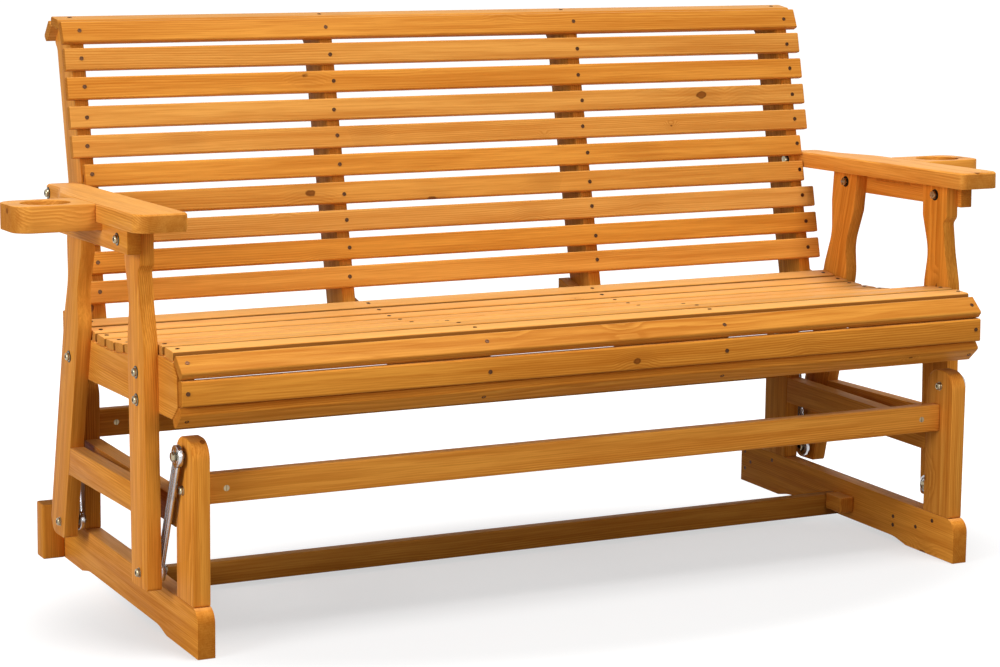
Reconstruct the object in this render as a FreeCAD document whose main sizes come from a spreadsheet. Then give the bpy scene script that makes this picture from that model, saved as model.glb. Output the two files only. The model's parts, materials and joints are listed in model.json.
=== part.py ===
import FreeCAD, Part
import math
import os
import Sketcher

# Porch glider bench: a slatted seat hung by four swing arms from two low floor frames.
# Base frame: X across the bench, Y back from the front posts' front faces, Z up from the floor.
# Glider frame: its origin is at the front lower pivots, Y runs towards the rear lower pivots.

doc = FreeCAD.newDocument("glider_bench")
sizes = doc.addObject("Spreadsheet::Sheet", "sizes")

# Driving dimensions in millimetres and degrees
DRIVING = (
    ("frame_board", 27, "thickness of the base boards and end seat supports"),
    ("frame_inner_x", 653, "inner face of the floor frames"),
    ("rail_height", 73, "height of a floor rail"),
    ("rail_front", -17, "front end of a floor rail"),
    ("rail_back", 661, "back end of a floor rail"),
    ("rail_nose_radius", 22, "rounded front top corner of a floor rail"),
    ("recess_front", 120, "front end of the hollow under a floor rail"),
    ("recess_back", 529, "back end of the hollow under a floor rail"),
    ("recess_height", 8, "height of the hollow under a floor rail"),
    ("recess_ramp", 36, "length of each sloping end of the hollow"),
    ("post_depth", 74, "front to back size of a base post"),
    ("post_top", 320, "height of the base posts above the floor"),
    ("post_radius", 30, "rounded top corners of a base post"),
    ("rear_post_front", 510, "front face of the rear base posts"),
    ("side_rail_low", 177, "underside of a side rail"),
    ("rail_stock", 45, "height of the side rails, cross rails and stretchers"),
    ("cross_board", 22, "thickness of the cross rails and glider boards"),
    ("cross_rail_low", 217, "underside of a cross rail"),
    ("cross_rail_set", 33, "front post face to front cross rail"),
    ("rear_cross_set", 30, "rear post face to rear cross rail"),
    ("low_bar_front", 329, "front face of the lower cross bar"),
    ("low_bar_bottom", 8, "underside of the lower cross bar"),
    ("low_bar_height", 38, "height of the lower cross bar"),
    ("cleat_length", 49, "front to back size of a corner cleat"),
    ("cleat_width", 28, "width of a corner cleat"),
    ("cleat_bottom", 22, "underside of a corner cleat"),
    ("cleat_height", 27, "height of a corner cleat"),
    ("stop_front", 622, "front face of a rear stop block"),
    ("stop_length", 36, "front to back size of a stop block"),
    ("stop_width", 37, "how far a stop block stands out from its rail"),
    ("stop_height", 92, "height of a stop block"),
    ("block_edge", 2.5, "bevelled upright edges of the cleats and stop blocks"),
    ("pivot_height", 293, "upper pivots above the floor"),
    ("arm_length", 205, "between the two pivots of a swing arm"),
    ("front_arm_angle", 22.5, "lean of the front swing arms at rest"),
    ("rear_arm_angle", 11.5, "lean of the rear swing arms at rest"),
    ("swing_gap", 21, "between a floor frame and the glider legs"),
    ("bolt_radius", 4, "shank of every pivot and frame bolt"),
    ("bolt_clearance", 0.25, "wood hole over bolt shank, on the radius"),
    ("bearing_radius", 11, "outer radius of a bearing"),
    ("bearing_width", 7, "width of a bearing"),
    ("bearing_fit", 0.05, "bearing bore over bolt shank, on the radius"),
    ("side_play", 0.3, "bearing face to spacer or nut"),
    ("spacer_radius", 7, "spacer between a board and a bearing"),
    ("nut_clearance", 0.8, "thin nut of a pivot to the board beside it"),
    ("eye_radius", 17, "outer radius of a swing arm's eye"),
    ("arm_bar_width", 22, "width of a swing arm's bar"),
    ("arm_plate", 3, "thickness of a swing arm's pressed plate"),
    ("arm_rib_height", 1.6, "height of the lengthwise ribs"),
    ("arm_rib_width", 3.4, "width of each lengthwise rib"),
    ("arm_rib_pitch", 6.8, "between lengthwise ribs"),
    ("head_radius", 7.5, "button heads of the bolts, with their washers"),
    ("nut_flats", 13, "across the flats of the nuts"),
    ("head_height", 6, "bolt heads with their washers, and nuts"),
    ("barrel_radius", 5, "barrel nuts"),
    ("barrel_set", 37, "rail end to barrel nut"),
    ("leg_front", -37, "front edge of the front legs"),
    ("leg_width", 72, "front to back size of a leg"),
    ("leg_bottom", -22, "bottom of the legs below their pivots"),
    ("leg_top", 517, "top of the legs, where the armrest lies"),
    ("leg_step", 19.5, "front edge of a front leg below its shoulder, behind its foot"),
    ("leg_waist", 12.5, "how far the front edge of a front leg is drawn in"),
    ("leg_back_waist", 11, "how far the back edge of a front leg is drawn in"),
    ("leg_head", 10, "front edge of a front leg's top, behind its foot"),
    ("leg_flare", 7, "back edge of a front leg's top, behind its foot"),
    ("neck_drop", 170, "leg top to where a leg starts to narrow"),
    ("waist_drop", 115, "leg top to a leg's waist"),
    ("step_drop", 10, "shoulder to the step below it"),
    ("shoulder_drop", 55, "leg top to a leg's shoulder"),
    ("leg_curve", 80, "curves of a leg's neck and waist"),
    ("shoulder_round", 8, "rounded shoulder of a leg"),
    ("leg_corner", 6, "rounded bottom corners of the legs"),
    ("heel_radius", 25, "rounded heel of a rear leg"),
    ("rear_leg_set", 20, "rear lower pivot to the front edge of the rear leg"),
    ("rear_leg_rake", 15.4, "rake of the rear legs"),
    ("rear_waist", 20, "how far the front edge of a rear leg is drawn in"),
    ("rear_back_waist", 7, "how far the back edge of a rear leg is drawn in"),
    ("rear_shoulder", 11, "how far a rear leg's shoulder stands behind its rake"),
    ("rear_head", 20, "how far a rear leg's top stands behind its rake"),
    ("rake_step", 14, "how much lower a rear leg's front curves are than its back ones"),
    ("stretcher_low", 86, "underside of a lower stretcher"),
    ("support_bottom", 243, "underside of the seat supports"),
    ("support_back", 425, "back end of the seat supports"),
    ("support_nose", -117, "front face of the seat supports"),
    ("nose_low", 264, "where the chin of the seat supports starts"),
    ("nose_depth", 19, "how far the upper nose reaches back"),
    ("high_bolt_drop", 29, "front roll to the upper seat bolt"),
    ("low_bolt_rise", 17, "supports' underside to the lower seat bolt"),
    ("rear_bolt_rise", 35, "supports' underside to the rear leg bolt"),
    ("post_bolt_rise", 20, "supports' underside to the back post bolts"),
    ("post_bolt_set", 38, "supports' back end to the back post bolts"),
    ("crest_y", -45, "highest place of the seat's front roll"),
    ("crest_z", 330, "height of the seat's front roll"),
    ("crest_radius", 500, "curve of the front roll"),
    ("valley_y", 205, "lowest place of the seat"),
    ("valley_radius", 762, "hollow of the seat"),
    ("middle_x", 199, "inner face of the middle seat supports"),
    ("slat_width", 36, "width of every slat"),
    ("slat_thickness", 15, "thickness of every slat"),
    ("slat_edge", 2, "bevelled edges of a slat"),
    ("slat_slit", 2.5, "slit between the slats of the nose and of the scroll"),
    ("slat_gap", 2, "slat end to the leg or armrest beside it"),
    ("slat_overhang", 15, "back slat end past the outer back post"),
    ("seat_slat_first", -77.6, "centre of the front seat slat"),
    ("seat_slat_pitch", 45.1, "between seat slats"),
    ("seat_slat_count", 10, "slats on top of the seat"),
    ("front_slat_low", 267.1, "lower edge of the upright nose slat"),
    ("upper_nose_drop", 4, "upper nose slat's middle below the middle of its slope"),
    ("nose_slope", 42, "slope of the upper nose slat"),
    ("chin_slope", 39, "slope of the lower nose slat"),
    ("back_slat_pitch", 46.8, "between back slats"),
    ("back_slat_count", 9, "straight back slats"),
    ("back_start_y", 340.2, "front face of the lowest back slat"),
    ("back_start_z", 356.7, "lower edge of the lowest back slat"),
    ("back_rake", 11.9, "rake of the back"),
    ("back_post_depth", 70.5, "front to back size of a back post"),
    ("back_post_bottom", 250, "bottom of the back posts"),
    ("post_shoulder", 11, "scroll tip to the shoulder below it"),
    ("scroll_lean", 23.8, "lean of the slat below the top slat"),
    ("scroll_fall", 8.4, "rise of the top slat towards the back"),
    ("scroll_back_slope", 46.4, "slope of the slat behind the top slat"),
    ("armrest_width", 80, "width of an armrest"),
    ("armrest_neck", 54, "width of an armrest beside the back"),
    ("armrest_front", -107, "front end of an armrest"),
    ("armrest_back", 418, "back end of an armrest"),
    ("armrest_thickness", 27, "thickness of an armrest"),
    ("armrest_corner", 12, "rounded corners of an armrest"),
    ("armrest_round", 25, "rounded outer front corner of an armrest"),
    ("armrest_edge", 2.5, "bevelled upper edge of an armrest"),
    ("armrest_bolt_set", 18, "armrest's back end to its bolt"),
    ("neck_start", 261, "where the armrest starts to narrow"),
    ("neck_end", 345, "where the armrest ends narrowing"),
    ("neck_curve", 120, "curves of an armrest's narrowing"),
    ("arm_rail_height", 38, "height of the rail under an armrest"),
    ("arm_rail_back", 318, "back end of the rail under an armrest"),
    ("cup_front_left", 78, "front edge of the left cup holder"),
    ("cup_front_right", 112, "front edge of the right cup holder"),
    ("cup_width", 104, "front to back size of a cup holder"),
    ("cup_reach", 122, "how far a cup holder stands out from its armrest"),
    ("cup_tongue", 13, "thickness of a cup holder's tongue"),
    ("cup_corner", 28, "rounded outer corners of a cup holder"),
    ("cup_hole_radius", 37, "cup hole"),
    ("cup_hole_set", 61, "armrest edge to the middle of the cup hole"),
)
for row, (name, value, note) in enumerate(DRIVING, start=1):
    sizes.set("A%d" % row, note)
    sizes.set("B%d" % row, str(value))
    sizes.setAlias("B%d" % row, name)
doc.recompute()


def size(name):
    """A driving dimension by its name."""
    return float(getattr(sizes, name))


def point(x, y, z):
    return FreeCAD.Vector(x, y, z)


def unit(degrees):
    """The direction in the side view that leans this many degrees back from upright."""
    return point(0, math.sin(math.radians(degrees)), math.cos(math.radians(degrees)))


SHANK_SIDES = 6
HEAD_SIDES = 8
EYE_SIDES = 18
X_AXIS = point(1, 0, 0)
Y_AXIS = point(0, 1, 0)
Z_AXIS = point(0, 0, 1)
parts = []

# Where the pivots are, in the base frame
front_pivot = point(0, size("post_depth") / 2, size("pivot_height"))
rear_pivot = point(0, size("rear_post_front") + size("post_depth") / 2, size("pivot_height"))
front_low = front_pivot - unit(-size("front_arm_angle")) * size("arm_length")
rear_low = rear_pivot - unit(size("rear_arm_angle")) * size("arm_length")
pivot_span = (rear_low - front_low).Length
tilt = math.degrees(math.asin((front_low.z - rear_low.z) / pivot_span))
glider_frame = FreeCAD.Placement(front_low, FreeCAD.Rotation(X_AXIS, -tilt))

# Shared planes across the bench
frame_outer_x = size("frame_inner_x") + size("frame_board")
leg_inner_x = frame_outer_x + size("swing_gap")
leg_outer_x = leg_inner_x + size("cross_board")
support_inner_x = leg_inner_x - size("frame_board")
middle_outer_x = size("middle_x") + size("cross_board")
arm_mid_x = frame_outer_x + size("swing_gap") / 2
armrest_outer_x = support_inner_x + size("armrest_width")
rail_outer_x = leg_outer_x + size("cross_board")

# The back, in the glider frame
back_up = unit(size("back_rake"))
back_in = point(0, back_up.z, -back_up.y)
back_start = point(0, size("back_start_y"), size("back_start_z"))
post_start = back_start + back_in * size("slat_thickness")
back_top = back_start + back_up * (size("back_slat_pitch") * size("back_slat_count") - 1)
slit = size("slat_slit")


def corner(a, b, c, radius):
    """The tangent arc of one radius in the corner at b, as its start, middle and end."""
    before = (a - b).normalize()
    after = (c - b).normalize()
    half = before.getAngle(after) / 2
    reach = radius / math.tan(half)
    middle = b + (before + after).normalize() * (radius / math.sin(half) - radius)
    return b + before * reach, middle, b + after * reach


def closed_outline(points):
    """Lines through (u, v) or (u, v, radius) points, with an arc at each rounded one."""
    spots = [point(p[0], p[1], 0) for p in points]
    ends = []
    for i, p in enumerate(points):
        if len(p) == 3:
            ends.append(corner(spots[i - 1], spots[i], spots[(i + 1) % len(spots)], p[2]))
        else:
            ends.append((spots[i], None, spots[i]))
    edges = []
    for i, (start, middle, end) in enumerate(ends):
        if middle is not None:
            edges.append(Part.Arc(start, middle, end))
        edges.append(Part.LineSegment(end, ends[(i + 1) % len(ends)][0]))
    return edges


def plane_of(body, role):
    return [f for f in body.Origin.OriginFeatures if f.Role == role][0]


def new_sketch(body, role, name, offset):
    sketch = body.newObject("Sketcher::SketchObject", name)
    sketch.AttachmentSupport = [(plane_of(body, role), "")]
    sketch.MapMode = "FlatFace"
    sketch.setExpression("AttachmentOffset.Base.z", offset)
    return sketch


def pad(body, sketch, length, name):
    feature = body.newObject("PartDesign::Pad", name)
    feature.Profile = sketch
    feature.setExpression("Length", length)
    return feature


def chained(sketch, edges):
    """Adds the edges to the sketch and joins each one to the next where they meet."""
    ids = [sketch.addGeometry(edge, False) for edge in edges]
    for here, after in zip(ids, ids[1:] + ids[:1]):
        ends = [(a, b) for a in (1, 2) for b in (1, 2)]
        a, b = min(ends, key=lambda pair: sketch.getPoint(here, pair[0]).distanceToPoint(
            sketch.getPoint(after, pair[1])))
        sketch.addConstraint(Sketcher.Constraint("Coincident", here, a, after, b))


def cut_board(label, role, edges, start, thickness, place):
    """A board sawn to an outline; start and thickness are sheet expressions."""
    body = doc.addObject("PartDesign::Body", label)
    sketch = new_sketch(body, role, label + "_outline", start)
    chained(sketch, edges)
    pad(body, sketch, thickness, label + "_board")
    body.Placement = place
    parts.append(body)
    return body


def straight_board(label, long_axis, length, width, height, place, edge=None):
    """A straight board about its own centre, its long edges bevelled where edge is named."""
    role = {"X": "YZ_Plane", "Y": "XZ_Plane", "Z": "XY_Plane"}[long_axis]
    body = doc.addObject("PartDesign::Body", label)
    sketch = new_sketch(body, role, label + "_section", "0")
    w, h = 10.0, 5.0
    spots = [point(-w, -h, 0), point(w, -h, 0), point(w, h, 0), point(-w, h, 0)]
    chained(sketch, [Part.LineSegment(spots[i], spots[(i + 1) % 4]) for i in range(4)])
    for line in (0, 2):
        sketch.addConstraint(Sketcher.Constraint("Horizontal", line))
    for line in (1, 3):
        sketch.addConstraint(Sketcher.Constraint("Vertical", line))
    sketch.addConstraint(Sketcher.Constraint("Symmetric", 0, 1, 1, 2, -1, 1))
    for kind, line, name, value in (("DistanceX", 0, "width", width),
                                    ("DistanceY", 1, "height", height)):
        index = sketch.addConstraint(Sketcher.Constraint(kind, line, 1, line, 2, 2 * w))
        sketch.renameConstraint(index, name)
        sketch.setExpression("Constraints." + name, value)
    board = pad(body, sketch, length, label + "_board")
    board.Midplane = True
    if edge:
        doc.recompute()
        bevel_edges(body, board, edge, lambda e: abs(e.tangentAt(e.FirstParameter).x) > 0.99)
    body.Placement = place
    parts.append(body)
    return body


def bevel_edges(body, base, width, wanted):
    """Bevels the edges of the base feature that the test wants."""
    names = ["Edge%d" % i for i, e in enumerate(base.Shape.Edges, start=1) if wanted(e)]
    feature = body.newObject("PartDesign::Chamfer", base.Name + "_edges")
    feature.Base = (base, names)
    feature.setExpression("Size", width)
    body.Tip = feature


def drill(body, name, radius, length, middle, axis, sides=0):
    """A hole with its middle at a place, along an axis; it is round unless sides are named."""
    hole = body.newObject("PartDesign::Subtractive" + ("Prism" if sides else "Cylinder"), name)
    if sides:
        hole.Polygon = sides
    hole.setExpression("Circumradius" if sides else "Radius", radius)
    hole.Height = length
    turn = FreeCAD.Rotation(Z_AXIS, axis)
    hole.Placement = FreeCAD.Placement(middle - axis * (length / 2), turn)


def bolt_hole(body, name, y, z, x):
    """A bolt's hole across a board near this X, with as many sides as the bolt's shank."""
    drill(body, name, "sizes.bolt_radius + sizes.bolt_clearance", 4 * size("frame_board"),
          point(x, y, z), X_AXIS, SHANK_SIDES)


def shape_part(label, shape, place):
    """A node whose shape is worked out from the sheet."""
    part = doc.addObject("Part::Feature", label)
    part.Shape = shape
    part.Placement = place
    parts.append(part)
    return part


def disc(radius, start, end, y, z):
    """A round bar along X between two X values."""
    return Part.makeCylinder(radius, end - start, point(start, y, z), X_AXIS)


def prism(sides, radius, start, end, y, z):
    """A bar along X with this many sides; radius is that of its corners."""
    turns = [2 * math.pi * i / sides for i in range(sides + 1)]
    ring = [point(start, y + radius * math.sin(a), z + radius * math.cos(a)) for a in turns]
    return Part.Face(Part.makePolygon(ring)).extrude(point(end - start, 0, 0))


def nut(start, end, y, z):
    return prism(6, size("nut_flats") / math.sqrt(3), start, end, y, z)


def on_side(side, solid):
    """The solid as made for the right side, or its mirror image for the left."""
    return solid if side > 0 else solid.mirror(point(0, 0, 0), X_AXIS)


def headed_shank(head_x, tip_x, y, z):
    """The shank and head of a bolt, as pieces still to be fused."""
    out = 1 if head_x > tip_x else -1
    return [prism(SHANK_SIDES, size("bolt_radius"), tip_x, head_x, y, z),
            prism(HEAD_SIDES, size("head_radius"), head_x, head_x + out * size("head_height"),
                  y, z)]


def bolt(side, head_x, tip_x, y, z, nutted=True):
    """A bolt on one side of the bench, with a nut past the board face at tip_x."""
    out = 1 if head_x > tip_x else -1
    pieces = headed_shank(head_x, tip_x, y, z)
    if nutted:
        pieces.append(nut(tip_x, tip_x - out * size("head_height"), y, z))
    return on_side(side, pieces[0].fuse(pieces[1:]).removeSplitter())


SIDES = (("left", -1), ("right", 1))


def across(side, inner, thickness):
    """The start, as an expression, of a board whose inner face is at this X on one side."""
    return "%r" % inner if side > 0 else "-(%r) - %s" % (inner, thickness)


# The overall box is centred on Y: rail ends in front, the slat behind the top slat at the back
scroll_up = unit(size("scroll_lean"))
scroll_in = point(0, scroll_up.z, -scroll_up.y)
top_along = point(0, math.cos(math.radians(size("scroll_fall"))),
                  math.sin(math.radians(size("scroll_fall"))))
top_down = point(0, top_along.z, -top_along.y)
rear_along = point(0, math.cos(math.radians(size("scroll_back_slope"))),
                   -math.sin(math.radians(size("scroll_back_slope"))))
rear_in = point(0, rear_along.z, -rear_along.y)
slat_t = size("slat_thickness")
slat_w = size("slat_width")
scroll_under = back_top + scroll_in * slat_t
scroll_top = back_top + scroll_up * slat_w + scroll_in * slat_t
top_start = scroll_top + back_in * slit + Z_AXIS * (slat_t / 2)
top_end = top_start + top_along * slat_w
rear_start = top_end + top_down * slat_t + rear_in * -slat_t + rear_along * slit
rear_end = rear_start + rear_along * slat_w
back_limit = glider_frame.multVec(rear_end).y
centre_y = (size("rail_front") + back_limit) / 2
to_origin = FreeCAD.Placement(point(0, -centre_y, 0), FreeCAD.Rotation())
base_place = to_origin
glider_place = to_origin * glider_frame

# Floor rails, posts and side rails
rear_post_back = size("rear_post_front") + size("post_depth")
cross_mid_z = size("cross_rail_low") + size("rail_stock") / 2
front_cross_y = size("cross_rail_set") + size("cross_board") / 2
rear_cross_y = size("rear_post_front") + size("rear_cross_set") + size("cross_board") / 2
low_bar_y = size("low_bar_front") + size("cross_board") / 2
low_bar_z = size("low_bar_bottom") + size("low_bar_height") / 2
frame_start = {s: across(s, size("frame_inner_x"), "sizes.frame_board") for n, s in SIDES}


def rail_outline():
    front, back = size("rail_front"), size("rail_back")
    top, hollow = size("rail_height"), size("recess_height")
    ramp = size("recess_ramp")
    low, high = size("recess_front"), size("recess_back")
    soft = 3 * ramp
    return closed_outline([
        (front, 0), (low, 0), (low + ramp, hollow, soft), (high - ramp, hollow, soft),
        (high, 0), (back, 0), (back, top), (front, top, size("rail_nose_radius"))])


def post_outline(front):
    low, top, r = size("rail_height"), size("post_top"), size("post_radius")
    back = front + size("post_depth")
    return closed_outline([(front, low), (back, low), (back, top, r), (front, top, r)])


for name, side in SIDES:
    mid_x = side * (size("frame_inner_x") + size("frame_board") / 2)
    cut_board("base_rail_" + name, "YZ_Plane", rail_outline(), frame_start[side],
              "sizes.frame_board", base_place)
    for which, front, pivot, cross_y in (
            ("front", 0, front_pivot, front_cross_y),
            ("rear", size("rear_post_front"), rear_pivot, rear_cross_y)):
        post = cut_board("%s_post_%s" % (which, name), "YZ_Plane", post_outline(front),
                         frame_start[side], "sizes.frame_board", base_place)
        bolt_hole(post, post.Label + "_pivot_hole", pivot.y, pivot.z, mid_x)
        bolt_hole(post, post.Label + "_rail_hole", cross_y, cross_mid_z, mid_x)
    length = size("rear_post_front") - size("post_depth")
    middle = point(mid_x, size("post_depth") + length / 2,
                   size("side_rail_low") + size("rail_stock") / 2)
    straight_board("side_rail_" + name, "Y", "sizes.rear_post_front - sizes.post_depth",
                   "sizes.frame_board", "sizes.rail_stock",
                   base_place * FreeCAD.Placement(middle, FreeCAD.Rotation()))

# Cross rails, with a bolt from each end into a barrel nut
barrel_x = size("frame_inner_x") - size("barrel_set")
for label, y in (("front_cross_rail", front_cross_y), ("rear_cross_rail", rear_cross_y)):
    rail = straight_board(label, "X", "2 * sizes.frame_inner_x", "sizes.cross_board",
                          "sizes.rail_stock",
                          base_place * FreeCAD.Placement(point(0, y, cross_mid_z),
                                                         FreeCAD.Rotation()))
    for name, side in SIDES:
        drill(rail, "%s_barrel_%s" % (label, name), "sizes.barrel_radius",
              2 * size("cross_board"), point(side * barrel_x, 0, 0), Y_AXIS, HEAD_SIDES)
        drill(rail, "%s_bolt_%s" % (label, name), "sizes.bolt_radius + sizes.bolt_clearance",
              size("barrel_set"), point(side * (size("frame_inner_x") - size("barrel_set") / 2),
                                        0, 0), X_AXIS, SHANK_SIDES)
straight_board("lower_cross_bar", "X", "2 * sizes.frame_inner_x", "sizes.cross_board",
               "sizes.low_bar_height",
               base_place * FreeCAD.Placement(point(0, low_bar_y, low_bar_z),
                                              FreeCAD.Rotation()))


def pair_of_blocks(inner_x, width, front, length, bottom, height):
    """Two equal blocks, one on each side, with their four upright edges bevelled."""
    block = Part.makeBox(width, length, height, point(inner_x, front, bottom))
    upright = [e for e in block.Edges if abs(e.tangentAt(0).z) > 0.99]
    block = block.makeChamfer(size("block_edge"), upright)
    return Part.makeCompound([on_side(-1, block), block])


shape_part("corner_cleats", pair_of_blocks(
    size("frame_inner_x") - size("cleat_width"), size("cleat_width"),
    size("low_bar_front") - size("cleat_length"), size("cleat_length"),
    size("cleat_bottom"), size("cleat_height")), base_place)
shape_part("rear_stop_blocks", pair_of_blocks(
    frame_outer_x, size("stop_width"), size("stop_front"), size("stop_length"),
    0, size("stop_height")), base_place)

# Base bolts and barrel nuts
rail_bolts = []
barrels = []
for name, side in SIDES:
    for y in (front_cross_y, rear_cross_y):
        tip = barrel_x + size("barrel_radius")
        rail_bolts.append(bolt(side, frame_outer_x, tip, y, cross_mid_z, nutted=False))
        barrel = prism(HEAD_SIDES, size("barrel_radius"), 0, size("cross_board"), 0, 0)
        barrel.Placement = FreeCAD.Placement(
            point(side * barrel_x, y - size("cross_board") / 2, cross_mid_z),
            FreeCAD.Rotation(X_AXIS, Y_AXIS))
        barrels.append(barrel)
shape_part("rail_bolts", Part.makeCompound(rail_bolts), base_place)
shape_part("barrel_nuts", Part.makeCompound(barrels), base_place)

# Pivot bolts: a spacer sets the bearing off the board, a nut holds it
bearing_in = arm_mid_x - size("bearing_width") / 2 - size("side_play")
bearing_out = arm_mid_x + size("bearing_width") / 2 + size("side_play")
nut_height = (size("swing_gap") / 2 - size("bearing_width") / 2 - size("side_play")
              - size("nut_clearance"))


def pivot_bolt(side, head_x, board_x, near_x, far_x, y, z):
    """A bolt through a board, a spacer up to the bearing, and a nut past the bearing."""
    out = 1 if head_x > board_x else -1
    tip = far_x - out * nut_height
    pieces = headed_shank(head_x, tip, y, z)
    pieces.append(prism(SHANK_SIDES, size("spacer_radius"), board_x, near_x, y, z))
    pieces.append(nut(far_x, tip, y, z))
    return on_side(side, pieces[0].fuse(pieces[1:]).removeSplitter())


upper = []
lower = []
pins = []
for name, side in SIDES:
    for pivot in (front_pivot, rear_pivot):
        upper.append(pivot_bolt(side, size("frame_inner_x"), frame_outer_x, bearing_in,
                                bearing_out, pivot.y, pivot.z))
    lower.append(pivot_bolt(side, leg_outer_x, leg_inner_x, bearing_out, bearing_in, 0, 0))
    lower.append(bolt(side, leg_outer_x, leg_inner_x, pivot_span, 0, nutted=False))
shape_part("upper_pivot_bolts", Part.makeCompound(upper), base_place)
shape_part("lower_pivot_bolts", Part.makeCompound(lower), glider_place)


# Swing arms: a ribbed plate between two eyes, each eye round a bearing
def swing_arm(label, side, pivot, lean):
    body = doc.addObject("PartDesign::Body", label)
    length = size("arm_length")
    plate = new_sketch(body, "YZ_Plane", label + "_plate_outline", "-sizes.arm_plate / 2")
    half = size("arm_bar_width") / 2
    chained(plate, closed_outline([(-half, 0), (half, 0), (half, -length), (-half, -length)]))
    pad(body, plate, "sizes.arm_plate", label + "_plate")
    eyes = new_sketch(body, "YZ_Plane", label + "_eye_outline", "-sizes.bearing_width / 2")
    rim = [2 * math.pi * i / EYE_SIDES for i in range(EYE_SIDES)]
    for z in (0, -length):
        chained(eyes, closed_outline([(size("eye_radius") * math.cos(a),
                                       z + size("eye_radius") * math.sin(a)) for a in rim]))
    pad(body, eyes, "sizes.bearing_width", label + "_eyes")
    ribs = new_sketch(body, "YZ_Plane", label + "_rib_outline",
                      "-(sizes.arm_plate / 2 + sizes.arm_rib_height)")
    wide, pitch = size("arm_rib_width") / 2, size("arm_rib_pitch")
    high = -(size("bearing_radius") + 1)
    for y in (-pitch, 0, pitch):
        chained(ribs, closed_outline([(y - wide, high), (y + wide, high),
                                      (y + wide, -length - high), (y - wide, -length - high)]))
    pad(body, ribs, "sizes.arm_plate + 2 * sizes.arm_rib_height", label + "_ribs")
    for name, z in (("upper", 0), ("lower", -length)):
        drill(body, "%s_%s_seat" % (label, name), "sizes.bearing_radius",
              2 * size("bearing_width"), point(0, 0, z), X_AXIS)
    turn = FreeCAD.Rotation(X_AXIS, lean)
    body.Placement = to_origin * FreeCAD.Placement(pivot + X_AXIS * (side * arm_mid_x), turn)
    parts.append(body)


def bearing(x, y, z):
    """One bearing, as a plain ring along X about its centre."""
    half = size("bearing_width") / 2
    bore = disc(size("bolt_radius") + size("bearing_fit"), x - half, x + half, y, z)
    return disc(size("bearing_radius"), x - half, x + half, y, z).cut(bore)


def bearings(label, pivot, low):
    rings = []
    for name, side in SIDES:
        for spot in (pivot, low):
            rings.append(bearing(side * arm_mid_x, spot.y, spot.z))
    shape_part(label, Part.makeCompound(rings), base_place)


for name, side in SIDES:
    swing_arm("front_swing_arm_" + name, side, front_pivot, size("front_arm_angle"))
    swing_arm("rear_swing_arm_" + name, side, rear_pivot, -size("rear_arm_angle"))
    reach = leg_inner_x - size("side_play")
    near, far = bearing_in + size("side_play"), bearing_out - size("side_play")
    low_y, low_z = rear_low.y, rear_low.z
    pin = prism(SHANK_SIDES, size("bolt_radius") + size("bearing_fit"), near, reach, low_y, low_z)
    pin = pin.fuse([prism(SHANK_SIDES, size("spacer_radius"), far, reach, low_y, low_z),
                    nut(near - nut_height, near, low_y, low_z)]).removeSplitter()
    pins.append(on_side(side, pin))
bearings("front_arm_bearings", front_pivot, front_low)
bearings("rear_arm_bearings", rear_pivot, rear_low)
shape_part("rear_lower_pins", Part.makeCompound(pins), base_place)

# Glider legs and lower stretchers
leg_front, leg_back = size("leg_front"), size("leg_front") + size("leg_width")
rake = unit(-size("rear_leg_rake"))
rear_front = point(0, pivot_span - size("rear_leg_set"), size("leg_bottom"))


leg_top = size("leg_top")
neck_z, waist_z = leg_top - size("neck_drop"), leg_top - size("waist_drop")
shoulder_z = leg_top - size("shoulder_drop")
curve, round_off = size("leg_curve"), size("shoulder_round")


def front_leg_outline():
    waist, low, r = size("leg_waist"), size("leg_bottom"), size("leg_corner")
    head_front, head_back = leg_front + size("leg_head"), leg_back + size("leg_flare")
    return closed_outline([
        (leg_front, low, r), (leg_back, low, r), (leg_back, neck_z, curve),
        (leg_back - size("leg_back_waist"), waist_z, curve), (head_back, shoulder_z, round_off),
        (head_back, leg_top), (head_front, leg_top), (head_front, shoulder_z, round_off),
        (leg_front + size("leg_step"), shoulder_z - size("step_drop"), round_off),
        (leg_front + waist, waist_z, curve), (leg_front, neck_z, curve)])


def on_rake(z, set_back=0.0):
    """A place on the rear leg's front edge, or that far behind it, at this height."""
    foot = rear_front + point(0, set_back / rake.z, 0)
    return foot.y + (z - foot.z) / rake.z * rake.y


def rear_leg_outline():
    low, wide, step = size("leg_bottom") - 2, size("leg_width"), size("rake_step")
    shoulder, head = size("rear_shoulder"), size("rear_head")
    return closed_outline([
        (on_rake(low), low, size("leg_corner")), (on_rake(low, wide), low, size("heel_radius")),
        (on_rake(neck_z, wide), neck_z, curve),
        (on_rake(waist_z, wide) - size("rear_back_waist"), waist_z, curve),
        (on_rake(shoulder_z, wide) + shoulder, shoulder_z, round_off),
        (on_rake(leg_top, wide) + head, leg_top), (on_rake(leg_top) + head, leg_top),
        (on_rake(shoulder_z - step) + shoulder, shoulder_z - step, round_off),
        (on_rake(waist_z - step) + size("rear_waist"), waist_z - step, curve),
        (on_rake(neck_z - step), neck_z - step, curve)])


leg_mid_y = leg_front + size("leg_width") / 2
rear_bolt_z = size("support_bottom") + size("rear_bolt_rise")
seat_bolts = [(leg_mid_y, size("crest_z") - size("high_bolt_drop")),
              (leg_mid_y, size("support_bottom") + size("low_bolt_rise")),
              (on_rake(rear_bolt_z, size("leg_width") / 2), rear_bolt_z)]
post_bolt = (size("support_back") - size("post_bolt_set"),
             size("support_bottom") + size("post_bolt_rise"))
arm_bolt_z = leg_top - size("arm_rail_height") / 2
arm_bolts_y = [leg_mid_y + (size("leg_head") + size("leg_flare")) / 2,
               on_rake(leg_top, size("leg_width") / 2) + size("rear_head")]


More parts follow.
